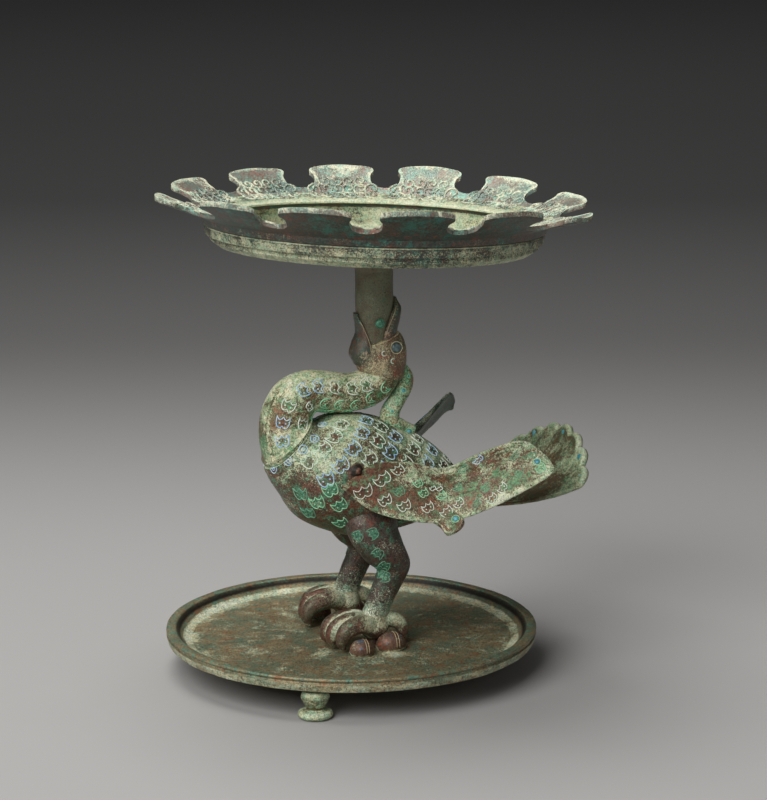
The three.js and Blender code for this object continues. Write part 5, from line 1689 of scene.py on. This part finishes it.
# %% [markdown]
# ## Scrolls at the feet of the lobes
# Between each lobe and the bowl the founder modelled rows of small curls. A displaced surface would
# need very many faces to show them, so they are raised wires, laid on the rim's upper face and, in
# the innermost row, on the shelf of the bowl. They are of the rim's own bronze.

# %% Scrolls on the rim
SCROLL = [(0.16 * k * math.cos(0.62 * k) / 1.6, 0.16 * k * math.sin(0.62 * k) / 1.6) for k in range(2, 16)]
rim_tree, bowl_tree = tree_of(rim), tree_of(bowl)
turned = basin_seat.to_3x3()
scrolls = []
for angle, _, _ in LOBES:
    for k, across in enumerate((-14.5, -8.7, -2.9, 2.9, 8.7, 14.5)):
        direction = angle + math.degrees(across / 84)
        flip = 1 if k < 3 else -1
        for out, size in ((-2.2, 2.6), (2.6, 2.9), (7.2, 2.4)):
            if out > 4 and abs(across) > 11:
                continue
            foot = rim_place(direction, out)
            outwards = (turned @ (rim_place(direction, out, 1) - foot)).normalized()
            ahead = (turned @ (rim_place(direction, out + 1) - foot)).normalized()
            scrolls.append(draw((rim_tree, bowl_tree), basin_seat @ foot, ahead, outwards.cross(ahead) * flip,
                                outwards, SCROLL, size, size, False, 0, 0.6 * k))
scroll_wires = wires("rim_scroll_relief", scrolls, FINISH["rim"], 0.62, 0.0)
paint(scroll_wires, 0.0, 0.0, lambda p, n: 0.35 + 0.6 * grain(p, 8, 5))

# %% [markdown]
# ## Floor and backdrop
# The bronze stands on a sheet of pale grey paper that sweeps up behind it, as in a studio. A floor and
# a wall would meet in a hard line, so one strip is extruded along a curve. The photograph's backdrop
# goes dark towards the top. Here that is painted shade in the colour of the paper, not less light on
# the object, and the floor is painted darker towards the back too.

# %% Stage
HALF_WIDTH, VIEW_TURN = 4, math.radians(-19)
SWEEP = [(-1.8, 0.0), (-2.3, 0.05), (-2.65, 0.25), (-2.85, 0.6), (-2.95, 1.1), (-3.0, 3.2)]
bm = bmesh.new()
edge = [bm.verts.new(p) for p in ((-HALF_WIDTH, 2.6, 0), (HALF_WIDTH, 2.6, 0))]
bm.edges.new(edge)
for y, z in SWEEP:
    made = bmesh.ops.extrude_edge_only(bm, edges=[bm.edges.get(edge)])["geom"]
    edge = sorted((g for g in made if isinstance(g, bmesh.types.BMVert)), key=lambda v: v.co.x)
    edge[0].co, edge[1].co = (-HALF_WIDTH, y, z), (HALF_WIDTH, y, z)
bmesh.ops.rotate(bm, cent=(0, 0, 0), matrix=Matrix.Rotation(VIEW_TURN, 3, "Z"), verts=bm.verts)
floor = put("floor_sweep", mesh_from("floor_sweep", bm))
paper, tree, shader, position = new_material("pale_grey_paper")
height = add(tree, "ShaderNodeSeparateXYZ", {}, Vector=position).outputs["Z"]
away = add(tree, "ShaderNodeVectorMath", {"operation": "DOT_PRODUCT"}, i0=position,
           i1=(-0.326, -0.945, 0)).outputs["Value"]
# Painted shade: the paper darkens towards the back of the floor and to near black up the backdrop.
near_to_far = blend(tree, mask(tree, 0.1, 0.9, (away, 1.0)), linear("#a6a4a2"), linear("#6e6d6c"))
backdrop = blend(tree, mask(tree, 0.0, 0.33, (height, 1.0)), near_to_far, linear("#323233"))
tree.links.new(backdrop, shader.inputs["Base Color"])
shader.inputs["Roughness"].default_value = 0.9
floor.data.materials.append(paper)
for polygon in floor.data.polygons:
    polygon.use_smooth = True
print("floor:", len(floor.data.polygons), "faces")

# %% [markdown]
# ## Light
# The key is a large soft lamp above the bird, ahead of it and on the camera's side, so its light comes
# from the left of the picture. A lamp overhead shows the rim and the back of the bird, and a weak one
# and the grey air fill the shade. The lamps are at a plain level, at which a colour renders about as
# it is written.

# %% Lamps
def lamp(name, place, aim, size, power):
    data = bpy.data.lights.new(name, "AREA")
    data.shape = "RECTANGLE"
    data.size, data.size_y = size
    data.energy = power
    obj = put(name, data)
    obj.location = place
    obj.rotation_euler = (Vector(aim) - Vector(place)).to_track_quat("-Z", "Y").to_euler()
    print(f"{name}: {power} W")


lamp("key_softbox", (1.05, 0.8, 1.15), (0, 0, 0.1), (1.2, 1.2), 25)
lamp("fill_softbox", (-0.9, 1.5, 0.7), (0, 0, 0.12), (1.0, 1.0), 1.5)
lamp("top_softbox", (0.15, -0.3, 1.5), (0, 0, 0.12), (0.9, 0.7), 14)
world = bpy.data.worlds.new("studio_air")
world.use_nodes = True
air = world.node_tree.nodes["Background"].inputs
air["Color"].default_value, air["Strength"].default_value = linear("#c8c8c8"), 0.13
scene.world = world
scene.view_settings.view_transform = "Standard"
